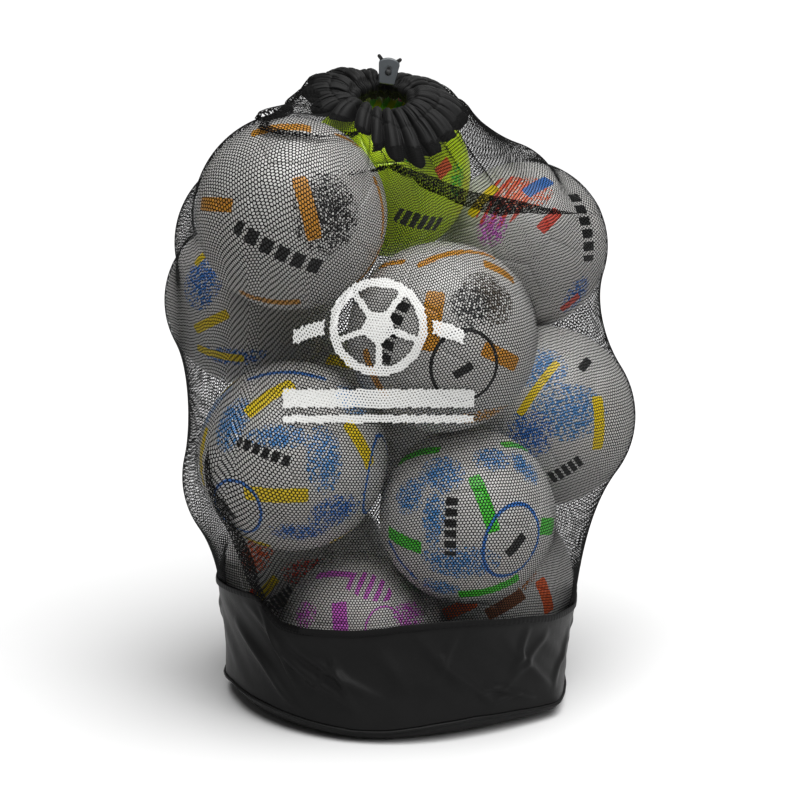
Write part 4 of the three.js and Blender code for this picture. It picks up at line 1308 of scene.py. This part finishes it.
@functools.lru_cache(maxsize=None)
def collar_rings():
    """The collar as closed rings round the mouth: from the hem up over the gathers to the roll,
    down into the mouth, and back under the cloth to the hem. Broad folds at the hem turn into
    fine ruffles at the mouth; a stitched line half-way pinches them."""
    angle = turn_angle(COLLAR_COLUMNS)
    broad, width = folds_between(angle, BROAD_VALLEYS)
    middling, _ = folds_between(angle, crease_valleys(MIDDLING_FOLDS, 3))
    fine, _ = folds_between(angle, crease_valleys(RUFFLES, 7))
    at_back = 0.5 + 0.5 * smoothstep(np.sin(angle), -0.7, 0.1)
    cord = mouth_ring(angle, np.full(COLLAR_COLUMNS, DRAWSTRING_RING_RADIUS + 0.5))
    inward = MOUTH - cord
    inward /= np.linalg.norm(inward, axis=1, keepdims=True)
    lean = np.array([0, -math.sin(MOUTH_TILT), math.cos(MOUTH_TILT)])
    roll = ROLL_RADIUS + 1.5 * (fine - 0.5) * at_back + 0.8 * middling + 3.5 * at_back * broad**2
    rim = cord + lean * roll[:, None]
    edge = casing_edge(angle)
    slope = edge - rim
    slope /= np.linalg.norm(slope, axis=1, keepdims=True)
    degrees, more = np.array(HEM_REACH, float).T
    hem = smooth_ring(np.interp(np.degrees(angle), degrees, more, period=360), 30)
    edge = edge + slope * hem[:, None]
    t = np.linspace(0, 1, COLLAR_STEPS)[:, None]
    crown = 9 - 4 * np.exp(-(((angle - math.radians(87)) / 0.35) ** 2))
    sheet = edge * (1 - t[..., None]) + rim * t[..., None]
    sheet[..., 2] += crown * np.sin(np.pi * t) ** 0.8
    normal = outward(sheet)
    stitched = np.exp(-(((t - STITCH_LINE) / 0.022) ** 2))
    rest = 1 - smoothstep(t, 0.9, 1.0)
    at_front = smoothstep(-np.sin(angle), 0.3, 0.9)
    lobe = np.minimum(width * 26, 9.5) * (1 - 0.6 * t) * (1 + 0.5 * at_front)
    high = (broad - 0.45) * lobe + (middling - 0.6) * 3.2 * np.sin(np.pi * t**0.8) ** 0.7
    high = high + (fine - 0.5) * 2.6 * smoothstep(t, 0.45, 0.95)
    puff = 1.3 * np.abs(np.sin(2 * np.pi * t)) * broad
    high = (high + puff) * rest - 1.0 * stitched
    flare = (9 + 6 * at_front) * broad - 5 - 4 * at_front + 2 * (middling - 0.5)
    flare = flare * (1 - t) ** 3
    top = sheet + normal * high[..., None] + slope[None] * flare[..., None]

    # Round the drawstring, from the top inwards and down, then back under the cloth.
    bend = np.linspace(0, 1, 16)[1:, None] * math.radians(170)
    over = (cord[None] + inward[None] * (np.sin(bend) * roll)[..., None]
            + lean[None, None] * (np.cos(bend) * roll)[..., None])
    drop = np.linspace(0, 1, 6)[1:, None, None]
    hang = 9 * smoothstep(np.sin(angle), -0.6, 0.6)[:, None]
    funnel = over[-1][None] - lean * hang * drop - inward[None] * 0.2 * hang * drop
    under = top[::-1][5:] - normal[::-1][5:] * COLLAR_THICKNESS
    share = np.linspace(0, 1, 5)[1:-1, None, None]
    lower = funnel[-1][None] * (1 - share) + under[0][None] * share
    return np.concatenate([top, over, funnel, lower, under])


class BagCollar(bpy.types.Operator):
    """Gather the cloth collar round the mouth"""

    bl_idname = "ball_bag.collar"
    bl_label = "Collar"

    def execute(self, context):
        cloth = woven("taslan_collar", settings().cloth_colour, 1.0, 0.5, 0.03, 0.5)
        collar = ring_piece("gathered_collar", collar_rings(), cloth, COLLAR_GIRTH, COLLAR_WALK)
        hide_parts("collar_casing")
        return {"FINISHED"}


def refinish(name, finish):
    """Gives one of the frame's own nodes a finish."""
    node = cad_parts[name]
    node.data.materials.clear()
    node.data.materials.append(finish)


class BagLock(bpy.types.Operator):
    """Give the cord lock, its wedge and its knob their moulded finish. The wedge and knob are
    near-black, as painted shade in the lock's slot.
    """

    bl_idname = "ball_bag.lock"
    bl_label = "Cord lock"

    def execute(self, context):
        grey = moulded("moulded_acetal", settings().lock_colour, 0.42)
        # The wedge and knob get a near-black finish: painted shade for the dark recess of the
        # lock's slot.
        dark = moulded("moulded_acetal_painted_shade", "#0d0e0f", 0.5)
        for name, finish in (("lock_body", grey), ("lock_wedge", dark), ("lock_knob", dark)):
            refinish(name, finish)
        return {"FINISHED"}


class BagBalls(bpy.types.Operator):
    """Fill the bag with stitched footballs, each with its rubber valve"""

    bl_idname = "ball_bag.balls"
    bl_label = "Balls"

    def execute(self, context):
        chosen = settings()
        rubber = moulded("valve_rubber", "#1c1c1d", 0.7)
        for number, (name, (centre, radius)) in enumerate(BALLS.items()):
            lime = name == "lime_top"
            points, faces = ball_mesh(radius)
            spin = 0.7 * number
            c, s = math.cos(spin), math.sin(spin)
            turn = np.array([[c, -s, 0], [s, c, 0], [0, 0, 1]]) @ np.array(
                [[1, 0, 0], [0, c, s], [0, -s, c]])
            skin = ball_material(name, centre, radius,
                                 chosen.lime_colour if lime else chosen.ball_colour)
            points = points @ turn.T + np.array(centre)
            ball = make_piece(f"football_{name}", points, faces, [skin])
            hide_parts(f"ball_{name}")
            refinish(f"valve_{name}", rubber)
        return {"FINISHED"}


class BagPanel(bpy.types.Panel):
    """Lists the bag's pieces and settings"""

    bl_idname = "VIEW3D_PT_ball_bag"
    bl_label = "Ball bag"
    bl_space_type = "VIEW_3D"
    bl_region_type = "UI"
    bl_category = "Ball bag"

    def draw(self, context):
        for name in BagSettings.__annotations__:
            self.layout.prop(context.scene.ball_bag, name)
        for operator in OPERATORS:
            self.layout.operator(operator.bl_idname)


OPERATORS = (BagCamera, BagCords, BagStage, BagBase, BagBand, BagNet, BagCollar, BagLock, BagBalls)
CLASSES = (BagSettings, *OPERATORS, BagPanel)


def register():
    for kind in CLASSES:
        bpy.utils.register_class(kind)
    bpy.types.Scene.ball_bag = bpy.props.PointerProperty(type=BagSettings)


def unregister():
    del bpy.types.Scene.ball_bag
    for kind in reversed(CLASSES):
        bpy.utils.unregister_class(kind)


def main():
    register()
    for operator in OPERATORS:
        group, name = operator.bl_idname.split(".")
        getattr(getattr(bpy.ops, group), name)()


if __name__ == "__main__":
    main()
